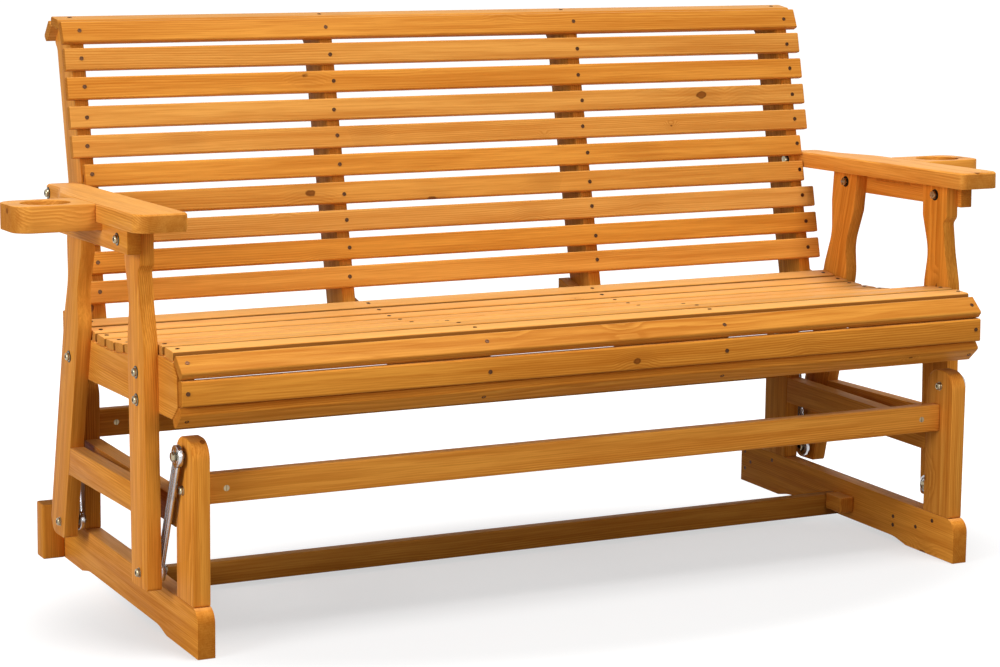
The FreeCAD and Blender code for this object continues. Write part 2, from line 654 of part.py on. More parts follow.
def stretcher_outline():
    low, high = size("stretcher_low"), size("stretcher_low") + size("rail_stock")
    return closed_outline([(leg_back, low), (on_rake(low), low), (on_rake(high), high),
                           (leg_back, high)])


leg_start = {s: across(s, leg_inner_x, "sizes.cross_board") for n, s in SIDES}
for name, side in SIDES:
    x = side * (leg_inner_x + leg_outer_x) / 2
    leg = cut_board("front_leg_" + name, "YZ_Plane", front_leg_outline(), leg_start[side],
                    "sizes.cross_board", glider_place)
    bolt_hole(leg, leg.Label + "_pivot_hole", 0, 0, x)
    for i, (y, z) in enumerate(seat_bolts[:2]):
        bolt_hole(leg, "%s_seat_hole_%d" % (leg.Label, i), y, z, x)
    bolt_hole(leg, leg.Label + "_arm_hole", arm_bolts_y[0], arm_bolt_z, x)
    leg = cut_board("rear_leg_" + name, "YZ_Plane", rear_leg_outline(), leg_start[side],
                    "sizes.cross_board", glider_place)
    bolt_hole(leg, leg.Label + "_pivot_hole", pivot_span, 0, x)
    bolt_hole(leg, leg.Label + "_seat_hole", *seat_bolts[2], x)
    bolt_hole(leg, leg.Label + "_arm_hole", arm_bolts_y[1], arm_bolt_z, x)
    cut_board("lower_stretcher_" + name, "YZ_Plane", stretcher_outline(), leg_start[side],
              "sizes.cross_board", glider_place)

# Seat supports: a rolled front and a hollow seat, as two arcs that meet smoothly
crest = point(0, size("crest_y"), size("crest_z"))
roll_centre = crest - Z_AXIS * size("crest_radius")
both_radii = size("crest_radius") + size("valley_radius")
rise = math.sqrt(both_radii ** 2 - (size("valley_y") - size("crest_y")) ** 2)
hollow_centre = point(0, size("valley_y"), roll_centre.z + rise)
meeting = roll_centre + (hollow_centre - roll_centre) * (size("crest_radius") / both_radii)
chin = math.radians(size("chin_slope"))
nose = math.radians(size("nose_slope"))


def seat_point(y):
    """The place on the supports' top curve at this Y, and the direction square to it."""
    if y <= meeting.y:
        arm = point(0, y - roll_centre.y,
                    math.sqrt(size("crest_radius") ** 2 - (y - roll_centre.y) ** 2))
        return roll_centre + arm, arm.normalize()
    arm = point(0, y - hollow_centre.y,
                -math.sqrt(size("valley_radius") ** 2 - (y - hollow_centre.y) ** 2))
    return hollow_centre + arm, -arm.normalize()


nose_y = size("support_nose")
nose_low_z = size("nose_low")
nose_top_y = nose_y + size("nose_depth")
nose_top = seat_point(nose_top_y)[0]
nose_knee_z = nose_top.z - size("nose_depth") * math.tan(nose)
chin_back_y = nose_y + (nose_low_z - size("support_bottom")) / math.tan(chin)


def flat(spot):
    return point(spot.y, spot.z, 0)


def support_outline():
    back, low = size("support_back"), size("support_bottom")
    spots = [point(chin_back_y, low, 0), point(nose_y, nose_low_z, 0),
             point(nose_y, nose_knee_z, 0), flat(nose_top)]
    edges = [Part.LineSegment(a, b) for a, b in zip(spots, spots[1:])]
    roll_mid = seat_point((nose_top_y + meeting.y) / 2)[0]
    edges.append(Part.Arc(flat(nose_top), flat(roll_mid), flat(meeting)))
    hollow_end = seat_point(back)[0]
    hollow_mid = seat_point((meeting.y + back) / 2)[0]
    edges.append(Part.Arc(flat(meeting), flat(hollow_mid), flat(hollow_end)))
    edges.append(Part.LineSegment(flat(hollow_end), point(back, low, 0)))
    edges.append(Part.LineSegment(point(back, low, 0), spots[0]))
    return edges


def twin_boards(label, edges, inner_x, place):
    """One node of two equal boards left and right of the middle, with the back post bolt's hole."""
    outline = Part.Face(Part.Wire([edge.toShape() for edge in edges]))
    outline.Placement = FreeCAD.Placement(point(inner_x, 0, 0),
                                          FreeCAD.Rotation(point(1, 1, 1), 120))
    board = outline.extrude(point(size("cross_board"), 0, 0))
    board = board.cut(prism(SHANK_SIDES, size("bolt_radius") + size("bolt_clearance"), inner_x,
                            inner_x + size("cross_board"), *post_bolt))
    shape_part(label, Part.makeCompound([on_side(-1, board), board]), place)


support_start = {s: across(s, support_inner_x, "sizes.frame_board") for n, s in SIDES}
for name, side in SIDES:
    support = cut_board("seat_support_" + name, "YZ_Plane", support_outline(),
                        support_start[side], "sizes.frame_board", glider_place)
    for i, (y, z) in enumerate(seat_bolts + [post_bolt]):
        bolt_hole(support, "%s_hole_%d" % (support.Label, i), y, z, side * support_inner_x)
twin_boards("seat_supports_middle", support_outline(), size("middle_x"), glider_place)

# Back posts, with a stepped head that carries the three scroll slats
post_front_line = post_start
post_rear_line = post_start + back_in * size("back_post_depth")


def on_back(start, z):
    return start.y + (z - start.z) / back_up.z * back_up.y


def meet(a, along_a, b, along_b):
    """Where two lines of the side view cross."""
    cross = along_a.y * along_b.z - along_a.z * along_b.y
    gap = b - a
    return a + along_a * ((gap.y * along_b.z - gap.z * along_b.y) / cross)


top_under = top_start + top_down * slat_t
rear_under = rear_start + rear_in * slat_t


def back_post_outline():
    bottom = size("back_post_bottom")
    neck = meet(post_front_line, back_up, scroll_under, scroll_up)
    front_peak = meet(scroll_under, scroll_up, top_under, top_along)
    rear_peak = meet(top_under, top_along, rear_under, rear_along)
    rear_tip = rear_under + rear_along * slat_w
    shoulder = rear_tip - Z_AXIS * size("post_shoulder")
    return closed_outline([
        (on_back(post_front_line, bottom), bottom), (neck.y, neck.z),
        (front_peak.y, front_peak.z), (rear_peak.y, rear_peak.z), (rear_tip.y, rear_tip.z, 3),
        (on_back(post_rear_line, shoulder.z), shoulder.z, 8),
        (on_back(post_rear_line, bottom), bottom)])


post_inner_x = support_inner_x - size("cross_board")
armrest_bolt = (size("armrest_back") - size("armrest_bolt_set"),
                leg_top + size("armrest_thickness") / 2)
for name, side in SIDES:
    post = cut_board("back_post_" + name, "YZ_Plane", back_post_outline(),
                     across(side, post_inner_x, "sizes.cross_board"), "sizes.cross_board",
                     glider_place)
    for i, (y, z) in enumerate((post_bolt, armrest_bolt)):
        bolt_hole(post, "%s_hole_%d" % (post.Label, i), y, z, side * post_inner_x)
twin_boards("back_posts_middle", back_post_outline(), middle_outer_x, glider_place)


# Slats: half lengths as expressions, so that they end beside a leg, an armrest or a post
seat_half = ("(sizes.frame_inner_x + sizes.frame_board + sizes.swing_gap"
             " - sizes.slat_gap)")
back_half = "(sizes.frame_inner_x + sizes.swing_gap + sizes.slat_overhang)"
short_half = "(sizes.frame_inner_x + sizes.swing_gap - sizes.slat_gap)"


def slat(label, half_length, middle, lean):
    """A slat about its middle; a lean of 0 lays it flat, 90 stands it up."""
    place = FreeCAD.Placement(middle, FreeCAD.Rotation(X_AXIS, lean))
    return straight_board(label, "X", "2 * " + half_length, "sizes.slat_width",
                          "sizes.slat_thickness", glider_place * place, "sizes.slat_edge")


def slat_lean(along):
    return math.degrees(math.atan2(along.z, along.y))


nose_along = point(0, math.cos(nose), math.sin(nose))
nose_out = point(0, -nose_along.z, nose_along.y)
chin_along = point(0, math.cos(chin), -math.sin(chin))
chin_out = point(0, chin_along.z, -chin_along.y)
upper_nose = (point(0, nose_y, nose_knee_z) + nose_top) * 0.5
lower_nose = (point(0, nose_y, nose_low_z)
              + point(0, chin_back_y, size("support_bottom"))) * 0.5
slat("upper_nose_slat", seat_half,
     upper_nose + nose_out * (slat_t / 2) - nose_along * size("upper_nose_drop"),
     slat_lean(nose_along))
slat("front_nose_slat", seat_half,
     point(0, nose_y - slat_t / 2, size("front_slat_low") + slat_w / 2), 90)
slat("lower_nose_slat", seat_half, lower_nose + chin_out * (slat_t / 2),
     slat_lean(chin_along))

seat_solids = []
for k in range(int(size("seat_slat_count"))):
    spot, up = seat_point(size("seat_slat_first") + k * size("seat_slat_pitch"))
    lift = slat_t / 2
    if spot.y > meeting.y:
        lift += size("valley_radius") - math.sqrt(size("valley_radius") ** 2
                                                  - (slat_w / 2) ** 2)
    half = leg_inner_x - size("slat_gap")
    board = Part.makeBox(2 * half, slat_w, slat_t, point(-half, -slat_w / 2, -slat_t / 2))
    board = board.makeChamfer(size("slat_edge"), [e for e in board.Edges
                                                  if abs(e.tangentAt(0).x) > 0.99])
    along = point(0, up.z, -up.y)
    board.Placement = FreeCAD.Placement(spot + up * lift,
                                        FreeCAD.Rotation(X_AXIS, slat_lean(along)))
    seat_solids.append(board)
shape_part("seat_slats", Part.makeCompound(seat_solids), glider_place)

count = int(size("back_slat_count"))
for k in range(count):
    middle = (back_start + back_up * (k * size("back_slat_pitch") + slat_w / 2)
              + back_in * (slat_t / 2))
    beside_arm = (middle.z - slat_w / 2 < size("leg_top") + size("armrest_thickness")
                  and middle.z + slat_w / 2 > size("leg_top"))
    slat("back_slat_%02d" % (count + 1 - k), short_half if beside_arm else back_half, middle,
         slat_lean(back_up))
slat("back_slat_01", back_half,
     back_top + scroll_up * (slat_w / 2) + scroll_in * (slat_t / 2), slat_lean(scroll_up))
slat("back_top_slat", back_half,
     top_start + top_along * (slat_w / 2) + top_down * (slat_t / 2), slat_lean(top_along))
slat("back_rear_slat", back_half,
     rear_start + rear_along * (slat_w / 2) + rear_in * (slat_t / 2), slat_lean(rear_along))


# Armrests, the rails under them and the cup holders
neck_x = support_inner_x + size("armrest_neck")
cup_fronts = {"left": size("cup_front_left"), "right": size("cup_front_right")}


def armrest_outline(side):
    inner, outer = support_inner_x, armrest_outer_x
    front, back, r = size("armrest_front"), size("armrest_back"), size("armrest_corner")
    narrowing = size("neck_curve")
    points = [(inner, front, r), (outer, front, size("armrest_round")),
              (outer, size("neck_start"), narrowing), (neck_x, size("neck_end"), narrowing),
              (neck_x, back, r), (inner, back)]
    return closed_outline([(side * p[0],) + p[1:] for p in points])


def arm_rail_outline(cup_front):
    low, back = leg_top - size("arm_rail_height"), size("arm_rail_back")
    cup_back = cup_front + size("cup_width")
    notch = leg_top - size("cup_tongue")
    return closed_outline([
        (leg_front, low), (back, low), (back, leg_top), (cup_back, leg_top), (cup_back, notch),
        (cup_front, notch), (cup_front, leg_top), (leg_front, leg_top)])


def cup_holder(label, side, front):
    body = doc.addObject("PartDesign::Body", label)
    back = front + size("cup_width")
    outer, r = armrest_outer_x + size("cup_reach"), size("cup_corner")
    block = new_sketch(body, "XY_Plane", label + "_outline",
                       "sizes.leg_top - sizes.cup_tongue")
    chained(block, closed_outline([
        (side * armrest_outer_x, front), (side * outer, front, r), (side * outer, back, r),
        (side * armrest_outer_x, back)]))
    pad(body, block, "sizes.cup_tongue + sizes.armrest_thickness", label + "_block")
    tongue = new_sketch(body, "XY_Plane", label + "_tongue_outline",
                        "sizes.leg_top - sizes.cup_tongue")
    chained(tongue, closed_outline([
        (side * leg_outer_x, front), (side * armrest_outer_x, front),
        (side * armrest_outer_x, back), (side * leg_outer_x, back)]))
    pad(body, tongue, "sizes.cup_tongue", label + "_tongue")
    drill(body, label + "_cup_hole", "sizes.cup_hole_radius", 4 * size("armrest_thickness"),
          point(side * (armrest_outer_x + size("cup_hole_set")), (front + back) / 2, leg_top),
          Z_AXIS)
    body.Placement = glider_place
    parts.append(body)


def on_armrest_top(edge):
    top = leg_top + size("armrest_thickness")
    return min(v.Z for v in edge.Vertexes) > top - 0.01


for name, side in SIDES:
    rest = cut_board("armrest_" + name, "XY_Plane", armrest_outline(side), "sizes.leg_top",
                     "sizes.armrest_thickness", glider_place)
    doc.recompute()
    bevel_edges(rest, rest.Tip, "sizes.armrest_edge", on_armrest_top)
    bolt_hole(rest, rest.Label + "_bolt_hole", *armrest_bolt, side * neck_x)
    rail = cut_board("arm_rail_" + name, "YZ_Plane", arm_rail_outline(cup_fronts[name]),
                     across(side, leg_outer_x, "sizes.cross_board"), "sizes.cross_board",
                     glider_place)
    for i, y in enumerate(arm_bolts_y):
        bolt_hole(rail, "%s_hole_%d" % (rail.Label, i), y, arm_bolt_z, side * rail_outer_x)
    cup_holder("cup_holder_" + name, side, cup_fronts[name])

# Glider bolts
frame_bolts = []
arm_bolts = []
for name, side in SIDES:
    for y, z in seat_bolts:
        frame_bolts.append(bolt(side, leg_outer_x, support_inner_x, y, z))
    frame_bolts.append(bolt(side, leg_inner_x, post_inner_x, *post_bolt))
    frame_bolts.append(bolt(side, middle_outer_x + size("cross_board"), size("middle_x"),
                            *post_bolt))
    for y in arm_bolts_y:
        arm_bolts.append(bolt(side, rail_outer_x, leg_inner_x, y, arm_bolt_z))
    arm_bolts.append(bolt(side, neck_x, post_inner_x, *armrest_bolt))
shape_part("frame_bolts", Part.makeCompound(frame_bolts), glider_place)
shape_part("arm_bolts", Part.makeCompound(arm_bolts), glider_place)

# Every object is sound and every sub-part is a valid solid before anything is written
doc.recompute()
for item in doc.Objects:
    if "Invalid" in item.State or "Error" in item.State:
        raise RuntimeError("%s did not build: %s" % (item.Name, item.State))
os.makedirs("parts", exist_ok=True)
for part in parts:
    if part.Shape.isNull() or not part.Shape.isValid():
        raise RuntimeError("%s has no valid shape" % part.Label)
for part in parts:
    part.Shape.exportStep(os.path.join("parts", part.Label + ".step"))
print("parts", len(parts), "pivot span %.2f tilt %.3f" % (pivot_span, tilt))
for name, spot in (("front pivot", front_pivot), ("rear pivot", rear_pivot),
                   ("front low", front_low), ("rear low", rear_low)):
    print("%s y %.3f z %.3f" % (name, spot.y - centre_y, spot.z))
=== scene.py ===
import json
import math
import random

import bpy
from mathutils import Matrix, Vector

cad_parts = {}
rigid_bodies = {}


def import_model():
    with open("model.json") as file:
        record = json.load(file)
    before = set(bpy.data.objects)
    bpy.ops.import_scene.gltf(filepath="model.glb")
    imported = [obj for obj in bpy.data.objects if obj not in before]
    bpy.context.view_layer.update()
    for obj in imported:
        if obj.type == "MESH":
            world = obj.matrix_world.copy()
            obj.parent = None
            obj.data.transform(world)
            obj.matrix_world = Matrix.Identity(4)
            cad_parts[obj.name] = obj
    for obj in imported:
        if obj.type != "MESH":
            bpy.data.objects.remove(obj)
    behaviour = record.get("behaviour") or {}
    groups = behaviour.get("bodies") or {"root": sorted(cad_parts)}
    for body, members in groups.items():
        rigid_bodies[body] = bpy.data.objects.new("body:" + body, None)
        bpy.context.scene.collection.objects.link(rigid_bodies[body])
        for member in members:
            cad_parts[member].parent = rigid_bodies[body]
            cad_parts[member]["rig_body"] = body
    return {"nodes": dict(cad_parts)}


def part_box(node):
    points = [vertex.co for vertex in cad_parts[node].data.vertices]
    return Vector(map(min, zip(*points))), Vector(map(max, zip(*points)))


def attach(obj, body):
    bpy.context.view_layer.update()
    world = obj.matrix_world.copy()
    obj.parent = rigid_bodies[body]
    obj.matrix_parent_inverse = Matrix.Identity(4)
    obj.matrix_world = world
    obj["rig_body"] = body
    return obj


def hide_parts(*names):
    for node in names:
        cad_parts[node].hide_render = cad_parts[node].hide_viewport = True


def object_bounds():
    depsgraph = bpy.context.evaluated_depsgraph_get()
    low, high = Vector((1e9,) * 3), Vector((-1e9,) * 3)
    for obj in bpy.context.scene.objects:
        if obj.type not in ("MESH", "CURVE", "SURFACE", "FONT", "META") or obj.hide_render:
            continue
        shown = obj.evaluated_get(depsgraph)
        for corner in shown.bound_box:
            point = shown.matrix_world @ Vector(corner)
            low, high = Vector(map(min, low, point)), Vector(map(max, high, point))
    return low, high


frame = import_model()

bl_info = {
    "name": "Porch Glider Bench",
    "version": (1, 0, 0),
    "blender": (4, 5, 0),
    "location": "View3D > Sidebar > Glider Bench",
    "description": "Dresses a slatted porch glider bench in stained fir and zinc plated steel",
    "category": "Object",
}

CAD_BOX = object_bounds()
NODES = frame["nodes"]


# Sizes and colours a user would change
class GliderWoodSettings(bpy.types.PropertyGroup):
    """Stain, grain, painted top light and edges of the fir boards"""
    light_stain: bpy.props.FloatVectorProperty(
        name="Light stain", description="Stain on the pale wood between the growth rings",
        subtype="COLOR", size=3, min=0.0, max=1.0, default=(0.80, 0.325, 0.042))
    dark_stain: bpy.props.FloatVectorProperty(
        name="Dark stain", description="Stain on the dense lines of the growth rings",
        subtype="COLOR", size=3, min=0.0, max=1.0, default=(0.47, 0.125, 0.006))
    # Partly painted light: the paler stain of the seat slats and armrests is partly their own
    # tone and partly stands in for the light and sheen on their tops
    pale_sheen_light: bpy.props.FloatVectorProperty(
        name="Pale light stain", description="Pale wood of the seat slats and armrests",
        subtype="COLOR", size=3, min=0.0, max=1.0, default=(0.82, 0.405, 0.100))
    pale_sheen_dark: bpy.props.FloatVectorProperty(
        name="Pale dark stain", description="Growth rings of the seat slats and armrests",
        subtype="COLOR", size=3, min=0.0, max=1.0, default=(0.57, 0.20, 0.026))
    # Painted light: the paler colour that faces looking up get for the light and sheen that
    # fall on them
    bleached: bpy.props.FloatVectorProperty(
        name="Painted_top_light stain", description="Sun bleached stain on faces that look up",
        subtype="COLOR", size=3, min=0.0, max=1.0, default=(0.88, 0.50, 0.18))
    knot_stain: bpy.props.FloatVectorProperty(
        name="Knot stain", description="Stain in the heart of a knot",
        subtype="COLOR", size=3, min=0.0, max=1.0, default=(0.20, 0.050, 0.006))
    ring_spacing: bpy.props.FloatProperty(
        name="Ring spacing", description="Distance between growth rings",
        default=0.0036, min=0.001, max=0.02, subtype="DISTANCE", unit="LENGTH")
    board_ease: bpy.props.FloatProperty(
        name="Board edge", description="Width of the rounded edges of the frame boards",
        default=0.0028, min=0.0, max=0.006, subtype="DISTANCE", unit="LENGTH")
    slat_ease: bpy.props.FloatProperty(
        name="Slat edge", description="Width of the sanded edges of the slats",
        default=0.0009, min=0.0, max=0.003, subtype="DISTANCE", unit="LENGTH")
    gloss: bpy.props.FloatProperty(
        name="Roughness", description="Roughness of the satin finish",
        default=0.46, min=0.05, max=1.0, subtype="FACTOR")


class GliderMetalSettings(bpy.types.PropertyGroup):
    """Finish of the swing arms, bolts and screws"""
    zinc: bpy.props.FloatVectorProperty(
        name="Zinc", description="Colour of the zinc plating",
        subtype="COLOR", size=3, min=0.0, max=1.0, default=(0.38, 0.32, 0.21))
    steel: bpy.props.FloatVectorProperty(
        name="Steel", description="Colour of the bright swing arms and bearings",
        subtype="COLOR", size=3, min=0.0, max=1.0, default=(0.58, 0.58, 0.59))
    # Partly painted shade: the washers are near-black for the shade in the counterbores round
    # the bolts' ends
    washer: bpy.props.FloatVectorProperty(
        name="Washer", description="Colour of the dark washers under the bolts' ends",
        subtype="COLOR", size=3, min=0.0, max=1.0, default=(0.022, 0.017, 0.012))
    barrel: bpy.props.FloatVectorProperty(
        name="Barrel nut", description="Colour of the yellow passivated barrel nuts",
        subtype="COLOR", size=3, min=0.0, max=1.0, default=(0.34, 0.26, 0.15))
    screw: bpy.props.FloatVectorProperty(
        name="Screw", description="Colour of the dark plated wood screws",
        subtype="COLOR", size=3, min=0.0, max=1.0, default=(0.095, 0.042, 0.020))
    screw_head: bpy.props.FloatProperty(
        name="Screw head", description="Radius of a wood screw's head",
        default=0.0034, min=0.001, max=0.01, subtype="DISTANCE", unit="LENGTH")
    washer_radius: bpy.props.FloatProperty(
        name="Washer radius", description="Radius of the washers on the legs and armrests",
        default=0.0096, min=0.008, max=0.012, subtype="DISTANCE", unit="LENGTH")
    button_head: bpy.props.FloatProperty(
        name="Bolt head", description="Radius of a bolt's button head",
        default=0.0064, min=0.004, max=0.0074, subtype="DISTANCE", unit="LENGTH")


class GliderStageSettings(bpy.types.PropertyGroup):
    """Camera, light and floor"""
    lens: bpy.props.FloatProperty(
        name="Lens", description="Focal length of the camera",
        default=98.0, min=10.0, max=300.0, subtype="DISTANCE_CAMERA")
    camera_place: bpy.props.FloatVectorProperty(
        name="Camera place", description="Where the camera stands",
        default=(-1.995, -3.9627, 1.1675), size=3, subtype="TRANSLATION")
    floor_colour: bpy.props.FloatVectorProperty(
        name="Floor", description="Colour of the pale floor",
        subtype="COLOR", size=3, min=0.0, max=1.0, default=(0.32, 0.32, 0.32))
    top_power: bpy.props.FloatProperty(
        name="Top light", description="Power of the soft light overhead",
        default=236.0, min=0.0, max=2000.0, unit="POWER")
    left_power: bpy.props.FloatProperty(
        name="Left light", description="Power of the soft light on the left",
        default=170.0, min=0.0, max=2000.0, unit="POWER")
    front_power: bpy.props.FloatProperty(
        name="Front light", description="Power of the soft light in front",
        default=52.0, min=0.0, max=2000.0, unit="POWER")
    sky: bpy.props.FloatProperty(
        name="Sky", description="Strength of the even light from all round",
        default=0.18, min=0.0, max=3.0)


# Node helpers
def clear_tree(material):
    material.use_nodes = True
    tree = material.node_tree
    tree.nodes.clear()
    return tree


def add(tree, kind, **settings):
    node = tree.nodes.new(kind)
    for key, value in settings.items():
        setattr(node, key, value)
    return node


def feed(tree, value, target):
    """Links a socket to an input, or sets the input to a plain value."""
    if isinstance(value, bpy.types.NodeSocket):
        tree.links.new(value, target)
    elif isinstance(value, (tuple, list)) and target.type == "RGBA":
        target.default_value = tuple(value) + (1.0,)
    else:
        target.default_value = value


def math_node(tree, operation, *values):
    """A math node whose inputs are sockets or plain numbers."""
    node = add(tree, "ShaderNodeMath", operation=operation)
    for target, value in zip(node.inputs, values):
        feed(tree, value, target)
    return node.outputs[0]


def vector_node(tree, operation, first, second):
    """A vector math node whose inputs are sockets or plain vectors."""
    node = add(tree, "ShaderNodeVectorMath", operation=operation)
    feed(tree, first, node.inputs[0])
    feed(tree, second, node.inputs[1])
    return node.outputs[0]


def axes_of(tree, vector):
    """The X, Y and Z of a vector."""
    node = add(tree, "ShaderNodeSeparateXYZ")
    feed(tree, vector, node.inputs[0])
    return node.outputs


def mix_shader(tree, factor, first, second):
    node = add(tree, "ShaderNodeMixShader")
    for target, value in zip(node.inputs, (factor, first, second)):
        feed(tree, value, target)
    return node.outputs[0]


def end_tree(tree, shader, kind="ShaderNodeOutputMaterial"):
    """Links a shader to the output of its material or world."""
    feed(tree, shader, add(tree, kind).inputs["Surface"])


def add_bump(tree, surface, height, strength, distance):
    bump = add(tree, "ShaderNodeBump")
    bump.inputs["Strength"].default_value = strength
    bump.inputs["Distance"].default_value = distance
    feed(tree, height, bump.inputs["Height"])
    feed(tree, bump.outputs[0], surface.inputs["Normal"])


def shaded(colour, share):
    """The colour made darker by a share."""
    return tuple(share * c for c in colour)


def mix_colour(tree, factor, first, second):
    node = add(tree, "ShaderNodeMix", data_type="RGBA")
    for slot, value in ((0, factor), (6, first), (7, second)):
        feed(tree, value, node.inputs[slot])
    return node.outputs[2]


def noise(tree, vector, stretch, detail=2.0, roughness=0.5):
    """Noise whose grain is drawn out by a scale for each axis."""
    node = add(tree, "ShaderNodeTexNoise")
    feed(tree, vector_node(tree, "MULTIPLY", vector, stretch), node.inputs["Vector"])
    node.inputs["Scale"].default_value = 1.0
    node.inputs["Detail"].default_value = detail
    node.inputs["Roughness"].default_value = roughness
    return node.outputs["Fac"]


def smooth_step(tree, value, low, high, to_low=0.0, to_high=1.0):
    node = add(tree, "ShaderNodeMapRange", interpolation_type="SMOOTHSTEP")
    for name, number in (("Value", value), ("From Min", low), ("From Max", high),
                         ("To Min", to_low), ("To Max", to_high)):
        feed(tree, number, node.inputs[name])
    return node.outputs["Result"]


def offset_by(tree, value, amount):
    """Noise about zero, as wide as the amount."""
    return math_node(tree, "MULTIPLY", math_node(tree, "SUBTRACT", value, 0.5), amount)


def new_group(name, inputs, outputs):
    """An empty shader node group with its sockets, and its ends."""
    tree = bpy.data.node_groups.new(name, "ShaderNodeTree")
    for label, kind in inputs:
        tree.interface.new_socket(name=label, in_out="INPUT", socket_type=kind)
    for label in outputs:
        tree.interface.new_socket(name=label, in_out="OUTPUT", socket_type="NodeSocketFloat")
    return tree, add(tree, "NodeGroupInput").outputs, add(tree, "NodeGroupOutput").inputs


# Shader node groups shared by the finishes
# The log: how boards are shifted in it, its knots, and how its rings wander and darken
BOARD_SHIFT = (3.17, 1.31, 2.23)
KNOT_CELLS = (9.0, 14.0, 14.0)
KNOTLESS_SHARE = 0.58
KNOT_SIZES = (0.5, 1.6)
KNOT_HEART, KNOT_HALO, KNOT_RIM = (0.068, 0.045), (0.34, 0.07), (0.035, 0.062)
HALO_SHARE = 0.15
KNOT_BEND = 0.008
WANDER_ACROSS, WANDER_DEEP, RIPPLE = 0.060, 0.022, 0.0052
RING_RISE, RING_FALL = (0.05, 0.80), (1.0, 0.84)


def fir_grain_group():
    """Growth rings, streaks, fibres and knots of a board whose length is the vector's X."""
    number, vector = "NodeSocketFloat", "NodeSocketVector"
    tree, given, result = new_group(
        "Fir grain",
        (("Vector", vector), ("Ring spacing", number), ("Pith", vector), ("Board", number)),
        ("Ring", "Streak", "Fibre", "Knot", "Knot edge"))

    # Each board is cut from another place in the log
    shift = add(tree, "ShaderNodeCombineXYZ")
    for target, factor in zip(shift.inputs, BOARD_SHIFT):
        feed(tree, math_node(tree, "MULTIPLY", given["Board"], factor), target)
    place = vector_node(tree, "ADD", given["Vector"], shift.outputs[0])

    # Knots: small branches that cross the grain here and there
    cells = add(tree, "ShaderNodeTexVoronoi", feature="F1")
    feed(tree, vector_node(tree, "MULTIPLY", place, KNOT_CELLS), cells.inputs["Vector"])
    cells.inputs["Scale"].default_value = 1.0
    split = add(tree, "ShaderNodeSeparateColor")
    feed(tree, cells.outputs["Color"], split.inputs[0])
    kept = math_node(tree, "GREATER_THAN", split.outputs[0], KNOTLESS_SHARE)
    size = smooth_step(tree, split.outputs[1], 0.0, 1.0, *KNOT_SIZES)
    reach = math_node(tree, "ADD", math_node(tree, "DIVIDE", cells.outputs["Distance"], size),
                      offset_by(tree, noise(tree, place, (90.0, 90.0, 90.0)), 0.05))
    knot = math_node(tree, "MULTIPLY", smooth_step(tree, reach, *KNOT_HEART), kept)
    halo = math_node(tree, "MULTIPLY", smooth_step(tree, reach, *KNOT_HALO), kept)
    rim = math_node(tree, "MULTIPLY", knot, smooth_step(tree, reach, *KNOT_RIM))

    # Rings: distance from the pith, wandering along the board and bending round knots
    axes = axes_of(tree, vector_node(tree, "SUBTRACT", given["Vector"], given["Pith"]))
    wander_y = offset_by(tree, noise(tree, place, (1.5, 5.0, 5.0), 2.0, 0.45), WANDER_ACROSS)
    wander_z = offset_by(tree, noise(tree, place, (1.1, 3.0, 3.0), 1.0), WANDER_DEEP)
    across = math_node(tree, "ADD", axes[1], wander_y)
    depth = math_node(tree, "ADD", axes[2], wander_z)
    radius = math_node(tree, "SQRT", math_node(
        tree, "ADD", math_node(tree, "MULTIPLY", across, across),
        math_node(tree, "MULTIPLY", depth, depth)))
    ripple = offset_by(tree, noise(tree, place, (7.0, 60.0, 60.0), 3.0, 0.6), RIPPLE)
    radius = math_node(tree, "ADD", math_node(tree, "ADD", radius, ripple),
                       math_node(tree, "MULTIPLY", halo, KNOT_BEND))
    phase = math_node(tree, "FRACT", math_node(tree, "DIVIDE", radius, given["Ring spacing"]))
    ring = math_node(tree, "MULTIPLY", smooth_step(tree, phase, *RING_RISE),
                     smooth_step(tree, phase, *RING_FALL))
    patchy = smooth_step(tree, noise(tree, place, (1.3, 30.0, 30.0)), 0.35, 0.68)

    feed(tree, math_node(tree, "MULTIPLY", ring, patchy), result["Ring"])
    feed(tree, noise(tree, place, (2.4, 75.0, 75.0), 4.0, 0.62), result["Streak"])
    feed(tree, noise(tree, place, (11.0, 420.0, 420.0), 3.0, 0.6), result["Fibre"])
    feed(tree, math_node(tree, "MAXIMUM", knot,
                         math_node(tree, "MULTIPLY", halo, HALO_SHARE)), result["Knot"])
    feed(tree, rim, result["Knot edge"])
    return tree


def plating_group():
    """Faint smudges and fine scratches for plated steel."""
    tree, given, result = new_group("Plating wear", (("Vector", "NodeSocketVector"),),
                                    ("Smudge", "Scratch"))
    feed(tree, noise(tree, given["Vector"], (90.0, 90.0, 60.0), 3.0), result["Smudge"])
    feed(tree, noise(tree, given["Vector"], (1400.0, 1400.0, 90.0)), result["Scratch"])
    return tree


GROUPS = {}


def shared_group(name, build):
    """A node group that is built once and used by every material."""
    if name not in GROUPS:
        GROUPS[name] = build()
    return GROUPS[name]


# Finishes
def turned(tree, vector, turn):
    """The vector turned so that the board's length lies on X."""
    mapping = add(tree, "ShaderNodeMapping", vector_type="POINT")
    feed(tree, vector, mapping.inputs["Vector"])
    mapping.inputs["Rotation"].default_value = turn
    return mapping.outputs[0]


def blend(first, second, share):
    return tuple(a + (b - a) * share for a, b in zip(first, second))


# How strongly each mark of the wood takes the darker stain, and how strongly the painted top
# light and the painted shade of the slats' gaps show
RING_SHARE, STREAK_SHARE, FIBRE_SHARE, KNOT_SHARE = 0.62, 0.55, 0.38, 0.85
# How strongly the painted light shows on faces that look up
PAINTED_TOP_LIGHT_SHARE = 0.34
END_SHARE, END_SHADE = 0.52, 0.72
# Painted shade on the sides of the slats that face their neighbours, where the gaps are in
# shade
GAP_PAINTED_SHADE_SHARE, GAP_PAINTED_SHADE = 0.85, 0.35
RIM_SHADE = 0.5
SLAT_SPREAD = 0.24
SLAT_BOARDS = 9.0
WOOD_SPECULAR = 0.04


